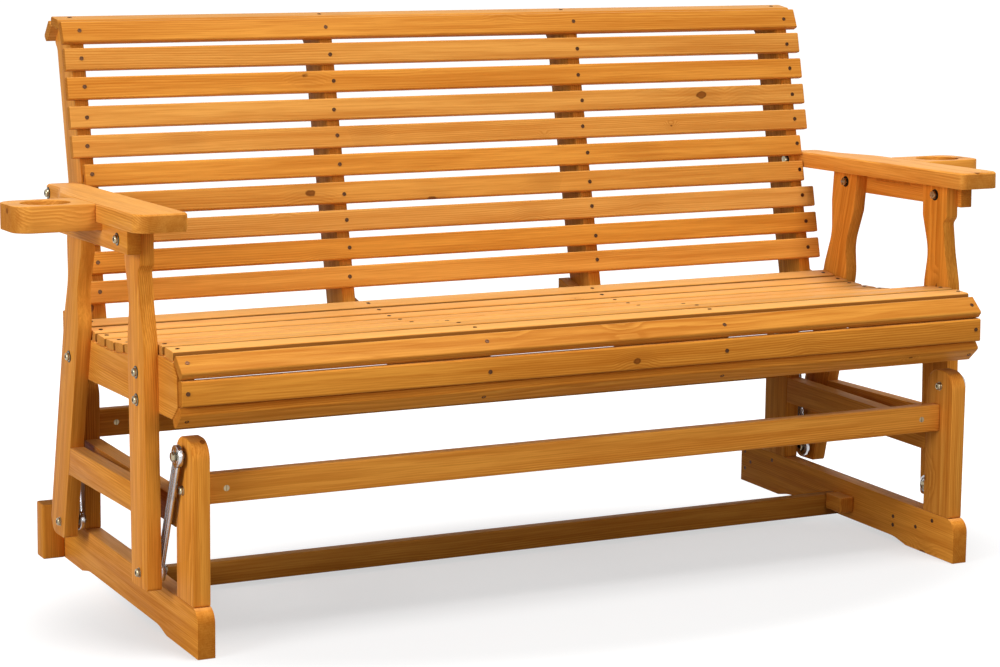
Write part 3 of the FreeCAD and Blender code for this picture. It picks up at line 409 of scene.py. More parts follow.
def fir_material(node, turn, board, tone_and_shade=0.0, pale=0.0, pitch=0.0, start=0.0):
    """Stained fir. The turn lays the board's length on X; a pitch tells like slats apart."""
    wood = bpy.context.scene.glider_wood
    low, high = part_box(node)
    dice = random.Random(int(board * 1000))
    material = bpy.data.materials.new(node + "_fir")
    tree = clear_tree(material)
    coordinates = add(tree, "ShaderNodeTexCoord")
    centred = vector_node(tree, "SUBTRACT", coordinates.outputs["Object"], (low + high) / 2)
    grain = add(tree, "ShaderNodeGroup", node_tree=shared_group("grain", fir_grain_group))
    feed(tree, turned(tree, centred, turn), grain.inputs["Vector"])
    grain.inputs["Ring spacing"].default_value = wood.ring_spacing * dice.uniform(0.8, 1.3)
    grain.inputs["Pith"].default_value = (0.0, dice.uniform(-0.03, 0.03),
                                          dice.choice((-1, 1)) * dice.uniform(0.03, 0.10))
    grain.inputs["Board"].default_value = board
    value = 1.0 + tone_and_shade
    if pitch:
        back = axes_of(tree, coordinates.outputs["Object"])[1]
        index = math_node(tree, "FLOOR", math_node(
            tree, "DIVIDE", math_node(tree, "SUBTRACT", back, start), pitch))
        draw = add(tree, "ShaderNodeTexWhiteNoise", noise_dimensions="1D")
        feed(tree, math_node(tree, "ADD", index, board), draw.inputs["W"])
        feed(tree, math_node(tree, "MULTIPLY", draw.outputs["Value"], SLAT_BOARDS),
             grain.inputs["Board"])
        value = math_node(tree, "MULTIPLY_ADD", draw.outputs["Value"], SLAT_SPREAD,
                          1.0 - SLAT_SPREAD / 2 + tone_and_shade)

    light = blend(wood.light_stain, wood.pale_sheen_light, pale)
    dark = blend(wood.dark_stain, wood.pale_sheen_dark, pale)
    heart = tuple(wood.knot_stain)
    colour = mix_colour(tree, math_node(tree, "MULTIPLY", grain.outputs["Ring"], RING_SHARE),
                        light, dark)
    streak = smooth_step(tree, grain.outputs["Streak"], 0.36, 0.70, 0.0, STREAK_SHARE)
    colour = mix_colour(tree, streak, colour, dark)
    fibre = smooth_step(tree, grain.outputs["Fibre"], 0.40, 0.70, 0.0, FIBRE_SHARE)
    colour = mix_colour(tree, fibre, colour, dark)

    # Painted light: faces that look up get a paler colour for the light and sheen that fall on
    # them. End grain is darker, and the sides of the slats that face the gaps get painted shade
    up = axes_of(tree, coordinates.outputs["Normal"])[2]
    colour = mix_colour(tree, smooth_step(tree, up, 0.80, 0.97, 0.0, PAINTED_TOP_LIGHT_SHARE), colour,
                        tuple(wood.bleached))
    sawn = axes_of(tree, turned(tree, coordinates.outputs["Normal"], turn))
    end = smooth_step(tree, math_node(tree, "ABSOLUTE", sawn[0]), 0.55, 0.95)
    colour = mix_colour(tree, math_node(tree, "MULTIPLY", end, END_SHARE), colour,
                        shaded(dark, END_SHADE))
    if pitch:
        # Painted shade: the sides that face the neighbouring slats are darkened for the shade
        # in the gaps
        painted_gap_shade = smooth_step(tree, math_node(tree, "ABSOLUTE", sawn[1]), 0.70, 0.90,
                          0.0, GAP_PAINTED_SHADE_SHARE)
        colour = mix_colour(tree, painted_gap_shade, colour, shaded(dark, GAP_PAINTED_SHADE))
    colour = mix_colour(tree, math_node(tree, "MULTIPLY", grain.outputs["Knot"], KNOT_SHARE),
                        colour, heart)
    colour = mix_colour(tree, grain.outputs["Knot edge"], colour, shaded(heart, RIM_SHADE))
    toned = add(tree, "ShaderNodeHueSaturation")
    feed(tree, colour, toned.inputs["Color"])
    feed(tree, value, toned.inputs["Value"])

    surface = add(tree, "ShaderNodeBsdfPrincipled")
    feed(tree, toned.outputs[0], surface.inputs["Base Color"])
    rough = smooth_step(tree, grain.outputs["Fibre"], 0.2, 0.8, wood.gloss - 0.06,
                        wood.gloss + 0.12)
    feed(tree, math_node(tree, "MULTIPLY_ADD", end, 0.2, rough), surface.inputs["Roughness"])
    surface.inputs["Specular IOR Level"].default_value = WOOD_SPECULAR
    height = math_node(tree, "MULTIPLY_ADD", grain.outputs["Ring"], 0.4, grain.outputs["Fibre"])
    add_bump(tree, surface, height, 0.20, 0.0005)
    end_tree(tree, surface.outputs[0])
    return material


# How much darker and rougher smudged steel is
SMUDGE_SHADE, SMUDGE_ROUGH = 0.72, 0.14


def metal_material(name, colour, rough):
    """Steel with faint smudges and scratches."""
    material = bpy.data.materials.new(name)
    tree = clear_tree(material)
    coordinates = add(tree, "ShaderNodeTexCoord")
    wear = add(tree, "ShaderNodeGroup", node_tree=shared_group("plating", plating_group))
    feed(tree, coordinates.outputs["Object"], wear.inputs["Vector"])
    surface = add(tree, "ShaderNodeBsdfPrincipled")
    surface.inputs["Metallic"].default_value = 1.0
    smudge = smooth_step(tree, wear.outputs["Smudge"], 0.35, 0.75)
    feed(tree, mix_colour(tree, smudge, tuple(colour), shaded(colour, SMUDGE_SHADE)),
         surface.inputs["Base Color"])
    feed(tree, math_node(tree, "MULTIPLY_ADD", smudge, SMUDGE_ROUGH, rough),
         surface.inputs["Roughness"])
    add_bump(tree, surface, wear.outputs["Scratch"], 0.10, 0.0002)
    end_tree(tree, surface.outputs[0])
    return material


# Mesh helpers
def make_active(piece):
    if bpy.context.object and bpy.context.object.mode != "OBJECT":
        bpy.ops.object.mode_set(mode="OBJECT")
    bpy.ops.object.select_all(action="DESELECT")
    piece.select_set(True)
    bpy.context.view_layer.objects.active = piece


def bevel(piece, width, segments, by_weight=False, angle=30.0):
    make_active(piece)
    modifier = piece.modifiers.new("Bevel", "BEVEL")
    modifier.width = width
    modifier.segments = segments
    modifier.limit_method = "WEIGHT" if by_weight else "ANGLE"
    modifier.angle_limit = math.radians(angle)
    modifier.use_clamp_overlap = True
    bpy.ops.object.modifier_apply(modifier=modifier.name)


def smooth(angle):
    """Smooth shading on the active piece, but for edges sharper than the angle."""
    bpy.ops.object.shade_smooth_by_angle(angle=math.radians(angle))


def drop(piece):
    """Removes a template that has been copied, or a tool that has cut."""
    mesh = piece.data
    bpy.data.objects.remove(piece)
    bpy.data.meshes.remove(mesh)


def cut_out(piece, tool):
    """Cuts the tool's shape out of the piece."""
    make_active(piece)
    cut = piece.modifiers.new("Cut", "BOOLEAN")
    cut.object = tool
    cut.solver = "EXACT"
    bpy.ops.object.modifier_apply(modifier=cut.name)
    drop(tool)


def moved(piece, place):
    """The piece moved by a matrix that is then applied to its mesh."""
    piece.matrix_world = place
    make_active(piece)
    bpy.ops.object.transform_apply(location=True, rotation=True, scale=True)
    return piece


def solids_of(node):
    """The corners of each solid of a CAD node, in the frame of the bench."""
    mesh = NODES[node].data
    place = NODES[node].matrix_world
    keys = [tuple(round(c, 6) for c in place @ v.co) for v in mesh.vertices]
    group = {key: key for key in keys}

    def root(key):
        while group[key] != key:
            group[key] = group[group[key]]
            key = group[key]
        return key

    for polygon in mesh.polygons:
        first = root(keys[polygon.vertices[0]])
        for vertex in polygon.vertices[1:]:
            group[root(keys[vertex])] = first
    solids = {}
    for key in group:
        solids.setdefault(root(key), []).append(Vector(key))
    return list(solids.values())


def middle_of(corners):
    lows = [min(c[i] for c in corners) for i in range(3)]
    highs = [max(c[i] for c in corners) for i in range(3)]
    return Vector([(a + b) / 2 for a, b in zip(lows, highs)])


BOLT_NODES = ("frame_bolts", "arm_bolts", "rail_bolts", "upper_pivot_bolts",
              "lower_pivot_bolts")
HOLE_REACH = 0.0058
SHARP_EDGE = math.radians(30)


def hidden_holes():
    """The axes of the bolts, in the side view, and of the barrel nuts, from the front."""
    bolts = [middle_of(solid) for node in BOLT_NODES for solid in solids_of(node)]
    barrels = [middle_of(solid) for solid in solids_of("barrel_nuts")]
    return [(m.y, m.z) for m in bolts], [(m.x, m.z) for m in barrels]


def weigh_edges(piece, holes):
    """Marks the edges to be rounded: every sharp one but those of the bolts' holes."""
    bolts, barrels = holes
    mesh = piece.data
    faces = {}
    for polygon in mesh.polygons:
        for key in polygon.edge_keys:
            faces.setdefault(key, []).append(polygon.normal)

    def hidden(point):
        return (any(math.hypot(point.y - y, point.z - z) < HOLE_REACH for y, z in bolts)
                or any(math.hypot(point.x - x, point.z - z) < HOLE_REACH for x, z in barrels))

    weights = mesh.attributes.new("bevel_weight_edge", "FLOAT", "EDGE")
    for edge in mesh.edges:
        normals = faces.get(edge.key, [])
        ends = [mesh.vertices[i].co for i in edge.vertices]
        sharp = len(normals) == 2 and normals[0].angle(normals[1], 0.0) > SHARP_EDGE
        weights.data[edge.index].value = float(sharp and not all(hidden(p) for p in ends))


# Scales that differ from the CAD model: the two lower nose slats are deeper, to narrow their
# gaps, and the floor rails a hair shorter, so that their rounded ends stay inside its box
RESIZED = {
    "front_nose_slat": (1.0, 1.0, 1.05), "lower_nose_slat": (1.0, 1.0, 1.04),
    "base_rail_left": (1.0, 0.99998, 1.0), "base_rail_right": (1.0, 0.99998, 1.0),
}
MERGE_DISTANCE = 0.000005
EDGE_SEGMENTS = 3


def sanded_board(node, ease, holes):
    """A merged copy of a node's board with rounded edges, which stands for the node."""
    source = NODES[node]
    piece = bpy.data.objects.new(node + "_wood", source.data.copy())
    bpy.context.scene.collection.objects.link(piece)
    piece.data.materials.clear()
    make_active(piece)
    bpy.ops.object.mode_set(mode="EDIT")
    bpy.ops.mesh.select_all(action="SELECT")
    bpy.ops.mesh.remove_doubles(threshold=MERGE_DISTANCE)
    bpy.ops.transform.resize(value=RESIZED.get(node, (1.0, 1.0, 1.0)),
                             center_override=(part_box(node)[0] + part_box(node)[1]) / 2)
    bpy.ops.object.mode_set(mode="OBJECT")
    weigh_edges(piece, holes)
    bevel(piece, ease, EDGE_SEGMENTS, by_weight=True)
    smooth(35)
    return finished(piece, node)


def finished(piece, node):
    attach(piece, NODES[node]["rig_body"])
    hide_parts(node)
    return piece


# Boards: their node, the turn that lays their grain along X, and how much lighter they are; for
# the lower cross bar this tone is painted shade
ACROSS = (0.0, 0.0, 0.0)
BACKWARD = (0.0, 0.0, math.radians(-90))
UPRIGHT = (0.0, math.radians(90), 0.0)
REAR_LEG = (math.radians(-13.7), math.radians(90), 0.0)
BACK_POST = (math.radians(10.2), math.radians(90), 0.0)
BASE_BOARDS = (
    ("base_rail_left", BACKWARD, -0.02), ("base_rail_right", BACKWARD, -0.03),
    ("front_post_left", UPRIGHT, 0.04), ("front_post_right", UPRIGHT, -0.06),
    ("rear_post_left", UPRIGHT, -0.05), ("rear_post_right", UPRIGHT, -0.05),
    ("side_rail_left", BACKWARD, -0.05), ("side_rail_right", BACKWARD, -0.05),
    ("front_cross_rail", ACROSS, 0.03), ("rear_cross_rail", ACROSS, -0.06),
    # Painted shade: the lower cross bar is much darker for the shadow that the seat casts on it
    ("lower_cross_bar", ACROSS, -0.46), ("corner_cleats", BACKWARD, -0.08),
    ("rear_stop_blocks", UPRIGHT, -0.03),
)
GLIDER_BOARDS = (
    ("front_leg_left", UPRIGHT, 0.03), ("front_leg_right", UPRIGHT, 0.0),
    ("rear_leg_left", REAR_LEG, -0.02), ("rear_leg_right", REAR_LEG, -0.02),
    ("lower_stretcher_left", BACKWARD, 0.0), ("lower_stretcher_right", BACKWARD, -0.03),
    ("seat_support_left", BACKWARD, -0.02), ("seat_support_right", BACKWARD, -0.02),
    ("seat_supports_middle", BACKWARD, -0.05),
    ("back_post_left", BACK_POST, -0.05), ("back_post_right", BACK_POST, -0.05),
    ("back_posts_middle", BACK_POST, -0.08),
    ("arm_rail_left", BACKWARD, -0.02), ("arm_rail_right", BACKWARD, -0.02),
)
ARM_BOARDS = (
    ("armrest_left", BACKWARD, 0.04), ("armrest_right", BACKWARD, 0.04),
    ("cup_holder_left", ACROSS, 0.02), ("cup_holder_right", ACROSS, 0.04),
)
NOSE_SLATS = (("upper_nose_slat", ACROSS, -0.12), ("front_nose_slat", ACROSS, -0.06),
              ("lower_nose_slat", ACROSS, 0.02))
BACK_SLATS = tuple("back_slat_%02d" % number for number in range(1, 11))
SCROLL_SLATS = ("back_top_slat", "back_rear_slat")
SLAT_WIDTH = 0.036
# How much wider the rounded edges of the glider boards and armrests are than a slat's
GLIDER_EASE, ARM_EASE = 1.6, 1.8


def dress_boards(boards, ease, seed, pale=(0.0, 0.2)):
    """Gives each board its rounded copy and its own piece of fir."""
    holes = hidden_holes()
    dice = random.Random(seed)
    for node, turn, tone_and_shade in boards:
        piece = sanded_board(node, ease, holes)
        piece.data.materials.append(fir_material(node, turn, dice.uniform(0.0, 40.0), tone_and_shade,
                                                 dice.uniform(*pale)))


class GLIDER_OT_base_boards(bpy.types.Operator):
    """Dress the floor rails, posts and cross rails in stained fir"""
    bl_idname = "glider.base_boards"
    bl_label = "Base boards"

    def execute(self, context):
        dress_boards(BASE_BOARDS, context.scene.glider_wood.board_ease, 4)
        return {"FINISHED"}


class GLIDER_OT_glider_boards(bpy.types.Operator):
    """Dress the legs, stretchers, seat supports and back posts in stained fir"""
    bl_idname = "glider.glider_boards"
    bl_label = "Glider boards"

    def execute(self, context):
        dress_boards(GLIDER_BOARDS, context.scene.glider_wood.slat_ease * GLIDER_EASE,
                     7)
        return {"FINISHED"}


class GLIDER_OT_armrests(bpy.types.Operator):
    """Dress the armrests and cup holders in stained fir, paler partly by their own tone and
    partly by painted light for the sheen on their tops
    """
    bl_idname = "glider.armrests"
    bl_label = "Armrests and cup holders"

    def execute(self, context):
        dress_boards(ARM_BOARDS, context.scene.glider_wood.slat_ease * ARM_EASE,
                     9, (0.25, 0.4))
        return {"FINISHED"}


class GLIDER_OT_slats(bpy.types.Operator):
    """Dress the seat, nose and back slats in stained fir, each cut from another board"""
    bl_idname = "glider.slats"
    bl_label = "Slats"

    def execute(self, context):
        wood = context.scene.glider_wood
        low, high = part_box("seat_slats")
        pitch = (high.y - low.y - SLAT_WIDTH) / (len(solids_of("seat_slats")) - 1)
        piece = sanded_board("seat_slats", wood.slat_ease, hidden_holes())
        # The seat slats take the full pale stain, partly their own tone and partly painted
        # light for the sheen on their tops
        piece.data.materials.append(fir_material(
            "seat_slats", ACROSS, 3.0, 0.05, 1.0, pitch,
            low.y - (pitch - SLAT_WIDTH) / 2))
        dice = random.Random(11)
        back = tuple((node, ACROSS, dice.uniform(-0.16, -0.05))
                     for node in BACK_SLATS + SCROLL_SLATS)
        dress_boards(NOSE_SLATS, wood.slat_ease, 23)
        dress_boards(back, wood.slat_ease, 31, (0.1, 0.8))
        return {"FINISHED"}


# Metal pieces are made about the origin along +X, then copied to their places
HEAD_SIDES, SHANK_SIDES, NUT_SIDES = 28, 20, 6
BARREL_SIDES, BEARING_SIDES, SCREW_SIDES = 24, 48, 12


def rod(sides, radius, start, end, ease=0.0):
    """A bar along X with eased rims."""
    bpy.ops.object.select_all(action="DESELECT")
    bpy.ops.mesh.primitive_cylinder_add(
        vertices=sides, radius=radius, depth=end - start, location=((start + end) / 2, 0, 0),
        rotation=(0, math.radians(90), 0))
    piece = bpy.context.object
    bpy.ops.object.transform_apply(location=True, rotation=True, scale=True)
    if ease:
        bevel(piece, ease, 2, angle=50.0)
    return piece


SAME_LEVEL = 0.00001


def select_end(piece, x):
    """Edit mode with only the end faces selected whose middle is at this X."""
    make_active(piece)
    for polygon in piece.data.polygons:
        polygon.select = abs(polygon.center.x - x) < SAME_LEVEL and abs(polygon.normal.x) > 0.99
    for edge in piece.data.edges:
        edge.select = False
    bpy.ops.object.mode_set(mode="EDIT")
    bpy.ops.mesh.select_mode(type="FACE")


def sink(piece, x, rim, depth):
    """Sinks the end face at this X by a depth, inside a rim of this width."""
    select_end(piece, x)
    bpy.ops.mesh.inset(thickness=rim)
    bpy.ops.mesh.extrude_region_move(TRANSFORM_OT_translate={"value": (-depth, 0, 0)})
    bpy.ops.object.mode_set(mode="OBJECT")


def joined(pieces, name):
    """The pieces as one object at the origin."""
    make_active(pieces[0])
    for piece in pieces[1:]:
        piece.select_set(True)
    if len(pieces) > 1:
        bpy.ops.object.join()
    whole = bpy.context.object
    whole.name = name
    return whole


def placed(template, place, facing, turn):
    """A copy with its own mesh, spun by a turn, faced by a matrix and moved to a place."""
    piece = bpy.data.objects.new(template.name + "_copy", template.data.copy())
    bpy.context.scene.collection.objects.link(piece)
    return moved(piece, Matrix.Translation(place) @ facing @ Matrix.Rotation(turn, 4, "X"))


def copied(template, place, side=1, turn=0.0):
    """A copy that faces +X or -X."""
    return placed(template, place, Matrix.Rotation(0.0 if side > 0 else math.pi, 4, "Z"), turn)


WASHER_NODES = ("frame_bolts", "arm_bolts")
WASHER_RADIUS = 0.0074
WASHER_THICKNESS = 0.0012
SHANK_RADIUS = 0.0040
SPACER_RADIUS = 0.0070
NUT_RADIUS = 0.0074
SOCKET_DEPTH = 0.0022
BARREL_RADIUS = 0.0049
BARREL_SLOT = (0.0024, 0.0012, 0.012)
SHIELD_DEPTH = 0.0006
RACE_WIDTH = 0.0013


def button_head(radius, height):
    """A washer and a domed head with a hexagon socket, seated on X = 0."""
    washer = rod(HEAD_SIDES, WASHER_RADIUS, 0.0, WASHER_THICKNESS, 0.0003)
    head = rod(HEAD_SIDES, radius, WASHER_THICKNESS, height)
    select_end(head, height)
    bpy.ops.mesh.bevel(offset=radius * 0.42, segments=4, affect="EDGES")
    bpy.ops.object.mode_set(mode="OBJECT")
    sink(head, height, radius * 0.10, 0.0)
    cut_out(head, rod(NUT_SIDES, radius * 0.50, height - SOCKET_DEPTH, height + 0.00002))
    whole = joined([washer, head], "button_head")
    smooth(40)
    return whole


def hexagon_nut(height):
    """A chamfered hexagon nut with its bolt's end inside it, seated on X = 0."""
    body = rod(NUT_SIDES, NUT_RADIUS, 0.0, height, 0.0006)
    tip = rod(SHANK_SIDES, SHANK_RADIUS, 0.0, height + 0.00005, 0.0004)
    whole = joined([body, tip], "hexagon_nut")
    smooth(40)
    return whole


# How many levels a bolt has: with a spacer and a nut, and with neither
SPACED_LEVELS, NUTLESS_LEVELS = 6, 3
CAD_HEAD_CORNERS = 8


def levels_of(solid):
    """Where a bolt's thickness changes along X, from its eight-sided head to its tip."""
    levels = {}
    for corner in solid:
        levels.setdefault(round(corner.x, 4), []).append(corner)
    ordered = sorted(levels)
    if len(levels[ordered[0]]) != CAD_HEAD_CORNERS:
        ordered.reverse()
    return ordered


def detailed_bolt(solid, head):
    """The pieces of one bolt: head, shank, and a spacer and nut where it has them."""
    middle = middle_of(solid)
    levels = levels_of(solid)
    head_x, tip_x = levels[1], levels[-1]
    side = 1 if levels[0] > levels[1] else -1
    pieces = [copied(head, Vector((head_x, middle.y, middle.z)), side, middle.y * 40.0)]
    nut_start = levels[-2]
    spans = [(SHANK_SIDES, SHANK_RADIUS, head_x, tip_x)]
    if len(levels) == SPACED_LEVELS:
        spans.append((HEAD_SIDES, SPACER_RADIUS, levels[2], levels[3]))
    for sides, radius, start, end in spans:
        bar = rod(sides, radius, min(start, end), max(start, end), 0.0003)
        pieces.append(copied(bar, Vector((0, middle.y, middle.z))))
        drop(bar)
    if len(levels) != NUTLESS_LEVELS:
        nut = hexagon_nut(abs(tip_x - nut_start))
        pieces.append(copied(nut, Vector((nut_start, middle.y, middle.z)), -side,
                             middle.z * 30.0))
        drop(nut)
    return pieces


class GLIDER_OT_bolts(bpy.types.Operator):
    """Model the bolts with button heads, spacers and hexagon nuts, and the barrel nuts"""
    bl_idname = "glider.bolts"
    bl_label = "Bolts and nuts"

    def execute(self, context):
        metal = context.scene.glider_metal
        zinc = metal_material("zinc_plate", metal.zinc, 0.20)
        first = levels_of(solids_of(BOLT_NODES[0])[0])
        head = button_head(metal.button_head, abs(first[0] - first[1]))
        for node in BOLT_NODES:
            pieces = []
            for solid in solids_of(node):
                pieces.extend(detailed_bolt(solid, head))
            whole = joined(pieces, node + "_steel")
            whole.data.materials.append(zinc)
            finished(whole, node)
        drop(head)
        self.washers(metal)
        self.barrels(metal_material("barrel_steel", metal.barrel, 0.34))
        self.pins(zinc)
        return {"FINISHED"}

    def washers(self, metal):
        """Wide washers under the heads and nuts of the leg and armrest bolts, near-black partly
        as painted shade for the counterbores round the bolts' ends.
        """
        pieces = []
        washer = rod(HEAD_SIDES, metal.washer_radius, 0.0, 0.0008, 0.0003)
        for node in WASHER_NODES:
            for solid in solids_of(node):
                middle = middle_of(solid)
                levels = levels_of(solid)
                side = 1 if levels[0] > levels[1] else -1
                for x, out in ((levels[1], side), (levels[-2], -side)):
                    pieces.append(copied(washer, Vector((x, middle.y, middle.z)), out))
        drop(washer)
        whole = joined(pieces, "leg_washers")
        smooth(40)
        whole.data.materials.append(metal_material("washer_steel", metal.washer, 0.30))
        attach(whole, "glider")

    def barrels(self, steel):
        """Barrel nuts with a slot for a screwdriver in their front ends."""
        pieces = []
        for solid in solids_of("barrel_nuts"):
            middle = middle_of(solid)
            half = max(abs(corner.y - middle.y) for corner in solid)
            barrel = rod(BARREL_SIDES, BARREL_RADIUS, -half, half, 0.0004)
            bpy.ops.object.select_all(action="DESELECT")
            bpy.ops.mesh.primitive_cube_add(size=1.0, location=(half, 0, 0))
            blade = bpy.context.object
            blade.scale = BARREL_SLOT
            bpy.ops.object.transform_apply(location=True, rotation=True, scale=True)
            cut_out(barrel, blade)
            pieces.append(moved(barrel, Matrix.Translation(middle)
                                @ Matrix.Rotation(math.radians(-90), 4, "Z")))
        whole = joined(pieces, "barrel_nuts_steel")
        whole.data.materials.append(steel)
        finished(whole, "barrel_nuts")

    def pins(self, zinc):
        """The rear arms' pins: a nut, the bearing's shank and a spacer towards the leg."""
        pieces = []
        for solid in solids_of("rear_lower_pins"):
            middle = middle_of(solid)
            levels = sorted({round(corner.x, 4) for corner in solid}, key=abs)
            out = 1 if levels[-1] > 0 else -1
            for sides, radius, start, end in (
                    (NUT_SIDES, NUT_RADIUS, levels[0], levels[1]),
                    (SHANK_SIDES, SHANK_RADIUS, levels[0], levels[2]),
                    (HEAD_SIDES, SPACER_RADIUS, levels[2], levels[3])):
                bar = rod(sides, radius, 0.0, abs(end - start), 0.0004)
                pieces.append(copied(bar, Vector((start, middle.y, middle.z)), out))
                drop(bar)
        whole = joined(pieces, "rear_lower_pins_steel")
        smooth(40)
        whole.data.materials.append(zinc)
        finished(whole, "rear_lower_pins")


class GLIDER_OT_swing_arms(bpy.types.Operator):
    """Dress the ribbed swing arms in zinc plate and model their shielded bearings"""
    bl_idname = "glider.swing_arms"
    bl_label = "Swing arms and bearings"

    def execute(self, context):
        metal = context.scene.glider_metal
        plate = metal_material("arm_plate", metal.steel, 0.17)
        steel = metal_material("bearing_steel", metal.steel, 0.14)
        for which in ("front", "rear"):
            for side in ("left", "right"):
                node = "%s_swing_arm_%s" % (which, side)
                piece = sanded_board(node, 0.0004, ([], []))
                piece.data.materials.append(plate)
            self.bearings(which + "_arm_bearings", steel)
        return {"FINISHED"}

    def bearings(self, node, steel):
        """Each ring with sunk shields between its two races."""
        pieces = []
        for solid in solids_of(node):
            middle = middle_of(solid)
            half = max(abs(corner.x - middle.x) for corner in solid)
            outer = max(math.hypot(c.y - middle.y, c.z - middle.z) for c in solid)
            ring = rod(BEARING_SIDES, outer, -half, half, 0.0003)
            for x, depth in ((half, SHIELD_DEPTH), (-half, -SHIELD_DEPTH)):
                sink(ring, x, RACE_WIDTH, depth)
                sink(ring, x - depth, outer * 0.34, 0.0)
            pieces.append(copied(ring, middle))
            drop(ring)
        whole = joined(pieces, node + "_steel")
        smooth(35)
        whole.data.materials.append(steel)
        finished(whole, node)


# Wood screws, set in the middle of the slats' faces
def faces_towards(node, hint):
    """The middle and normal of each wide flat face of a node that looks towards the hint."""
    place = NODES[node].matrix_world
    found = {}
    for polygon in NODES[node].data.polygons:
        normal = (place.to_3x3() @ polygon.normal).normalized()
        middle = place @ polygon.center
        if normal.dot(hint) <= 0.0 or abs(normal.x) > 0.5:
            continue
        key = (round(normal.y, 2), round(normal.z, 2), round(normal.dot(middle), 4))
        area, total, _ = found.get(key, (0.0, Vector(), normal))
        found[key] = (area + polygon.area, total + middle * polygon.area, normal)
    widest = max(area for area, _, _ in found.values())
    return [(total / area, normal) for area, total, normal in found.values()
            if area > 0.7 * widest]


# How far a screw's head reaches into and out of the wood, and the two steps of its recess
SCREW_IN, SCREW_OUT = -0.0006, 0.0007
SCREW_STEPS = (0.00035, 0.0003)


def screw_template(radius):
    """A flat head with a round recess in two steps, seated on X = 0."""
    head = rod(SCREW_SIDES, radius, SCREW_IN, SCREW_OUT)
    sink(head, SCREW_OUT, radius * 0.20, SCREW_STEPS[0])
    sink(head, SCREW_OUT - SCREW_STEPS[0], radius * 0.30, SCREW_STEPS[1])
    smooth(30)
    head.name = "screw"
    return head


def set_screw(template, place, normal, turn):
    """A copy of the screw at a place on a face, looking out along the normal."""
    facing = normal.to_track_quat("X", "Z").to_matrix().to_4x4()
    return placed(template, place, facing, turn)


# Screws in the inner faces of the floor rails, back from the middle of the bench and up
RAIL_SCREWS = ((0.321, 0.057), (0.301, 0.040), (0.320, 0.025), (0.226, 0.059),
               (-0.282, 0.060), (-0.168, 0.042), (-0.168, 0.027), (-0.235, 0.039))


# How far a screw may sit from its place
SCREW_SHIFT = 0.003


class GLIDER_OT_screws(bpy.types.Operator):
    """Set the dark wood screws into the slats and floor rails"""
    bl_idname = "glider.screws"
    bl_label = "Wood screws"

    def execute(self, context):
        metal = context.scene.glider_metal
        dark = metal_material("screw_steel", metal.screw, 0.36)
        template = screw_template(metal.screw_head)
        supports = tuple(abs(middle_of(solids_of(node)[0]).x)
                         for node in ("seat_support_left", "seat_supports_middle"))
        posts = tuple(abs(middle_of(solids_of(node)[0]).x)
                      for node in ("back_post_left", "back_posts_middle"))
        dice = random.Random(5)
        forward = Vector((0, -1, 0.5))
        seat = ["seat_slats"] + [board[0] for board in NOSE_SLATS]
        groups = (("seat_screws", seat, forward, supports),
                  ("back_screws", BACK_SLATS + SCROLL_SLATS[:1], forward, posts),
                  ("rear_screws", SCROLL_SLATS[1:], Vector((0, 1, 1)), posts))
        for name, nodes, hint, (outer, inner) in groups:
            screws = []
            for node in nodes:
                for middle, normal in faces_towards(node, hint):
                    for x in (-outer, -inner, inner, outer):
                        along = (Vector((0, -normal.z, normal.y))
                                 * dice.uniform(-SCREW_SHIFT, SCREW_SHIFT))
                        place = Vector((x + dice.uniform(-SCREW_SHIFT, SCREW_SHIFT),
                                        middle.y, middle.z))
                        screws.append(set_screw(template, place + along, normal,
                                                dice.uniform(0.0, 3.0)))
            self.finish(screws, name, dark, "glider")
        screws = []
        for side in (-1, 1):
            face = side * min(abs(corner.x) for corner in solids_of("base_rail_left")[0])
            for y, z in RAIL_SCREWS:
                screws.append(set_screw(template, Vector((face, y, z)), Vector((-side, 0, 0)),
                                        dice.uniform(0.0, 3.0)))
        self.finish(screws, "rail_screws", dark, "base")
        drop(template)
        return {"FINISHED"}

    def finish(self, screws, name, dark, body):
        whole = joined(screws, name)
        whole.data.materials.append(dark)
        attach(whole, body)


# The camera at the photograph's angle, soft light and a pale floor
CAMERA_TURN = (26.714, 8.682, -0.7227)
CAMERA_SHIFT = (-0.0141, -0.0662)
SENSOR_WIDTH = 36.0
AIM = Vector((0.0, 0.0, 0.4))
# Lamps: name, place, size and the setting of their power
LAMPS = (("top_light", (0.9, -1.55, 5.3), 2.4, "top_power"),
         ("left_light", (-5.0, -1.5, 1.9), 2.8, "left_power"),
         ("front_light", (0.6, -5.0, 2.2), 2.4, "front_power"))
# Painted light: where the floor's glow fades in round the bench, and how strong it is near the
# bench and far from it
FLOOR_MIDDLE, FLOOR_REACH = (0.0, -0.2, 0.0), (1.08, 0.5, 1.0)
FLOOR_FADE, FLOOR_GLOW = (0.60, 1.05), (0.56, 1.0)
FLOOR_DROP = 0.0004


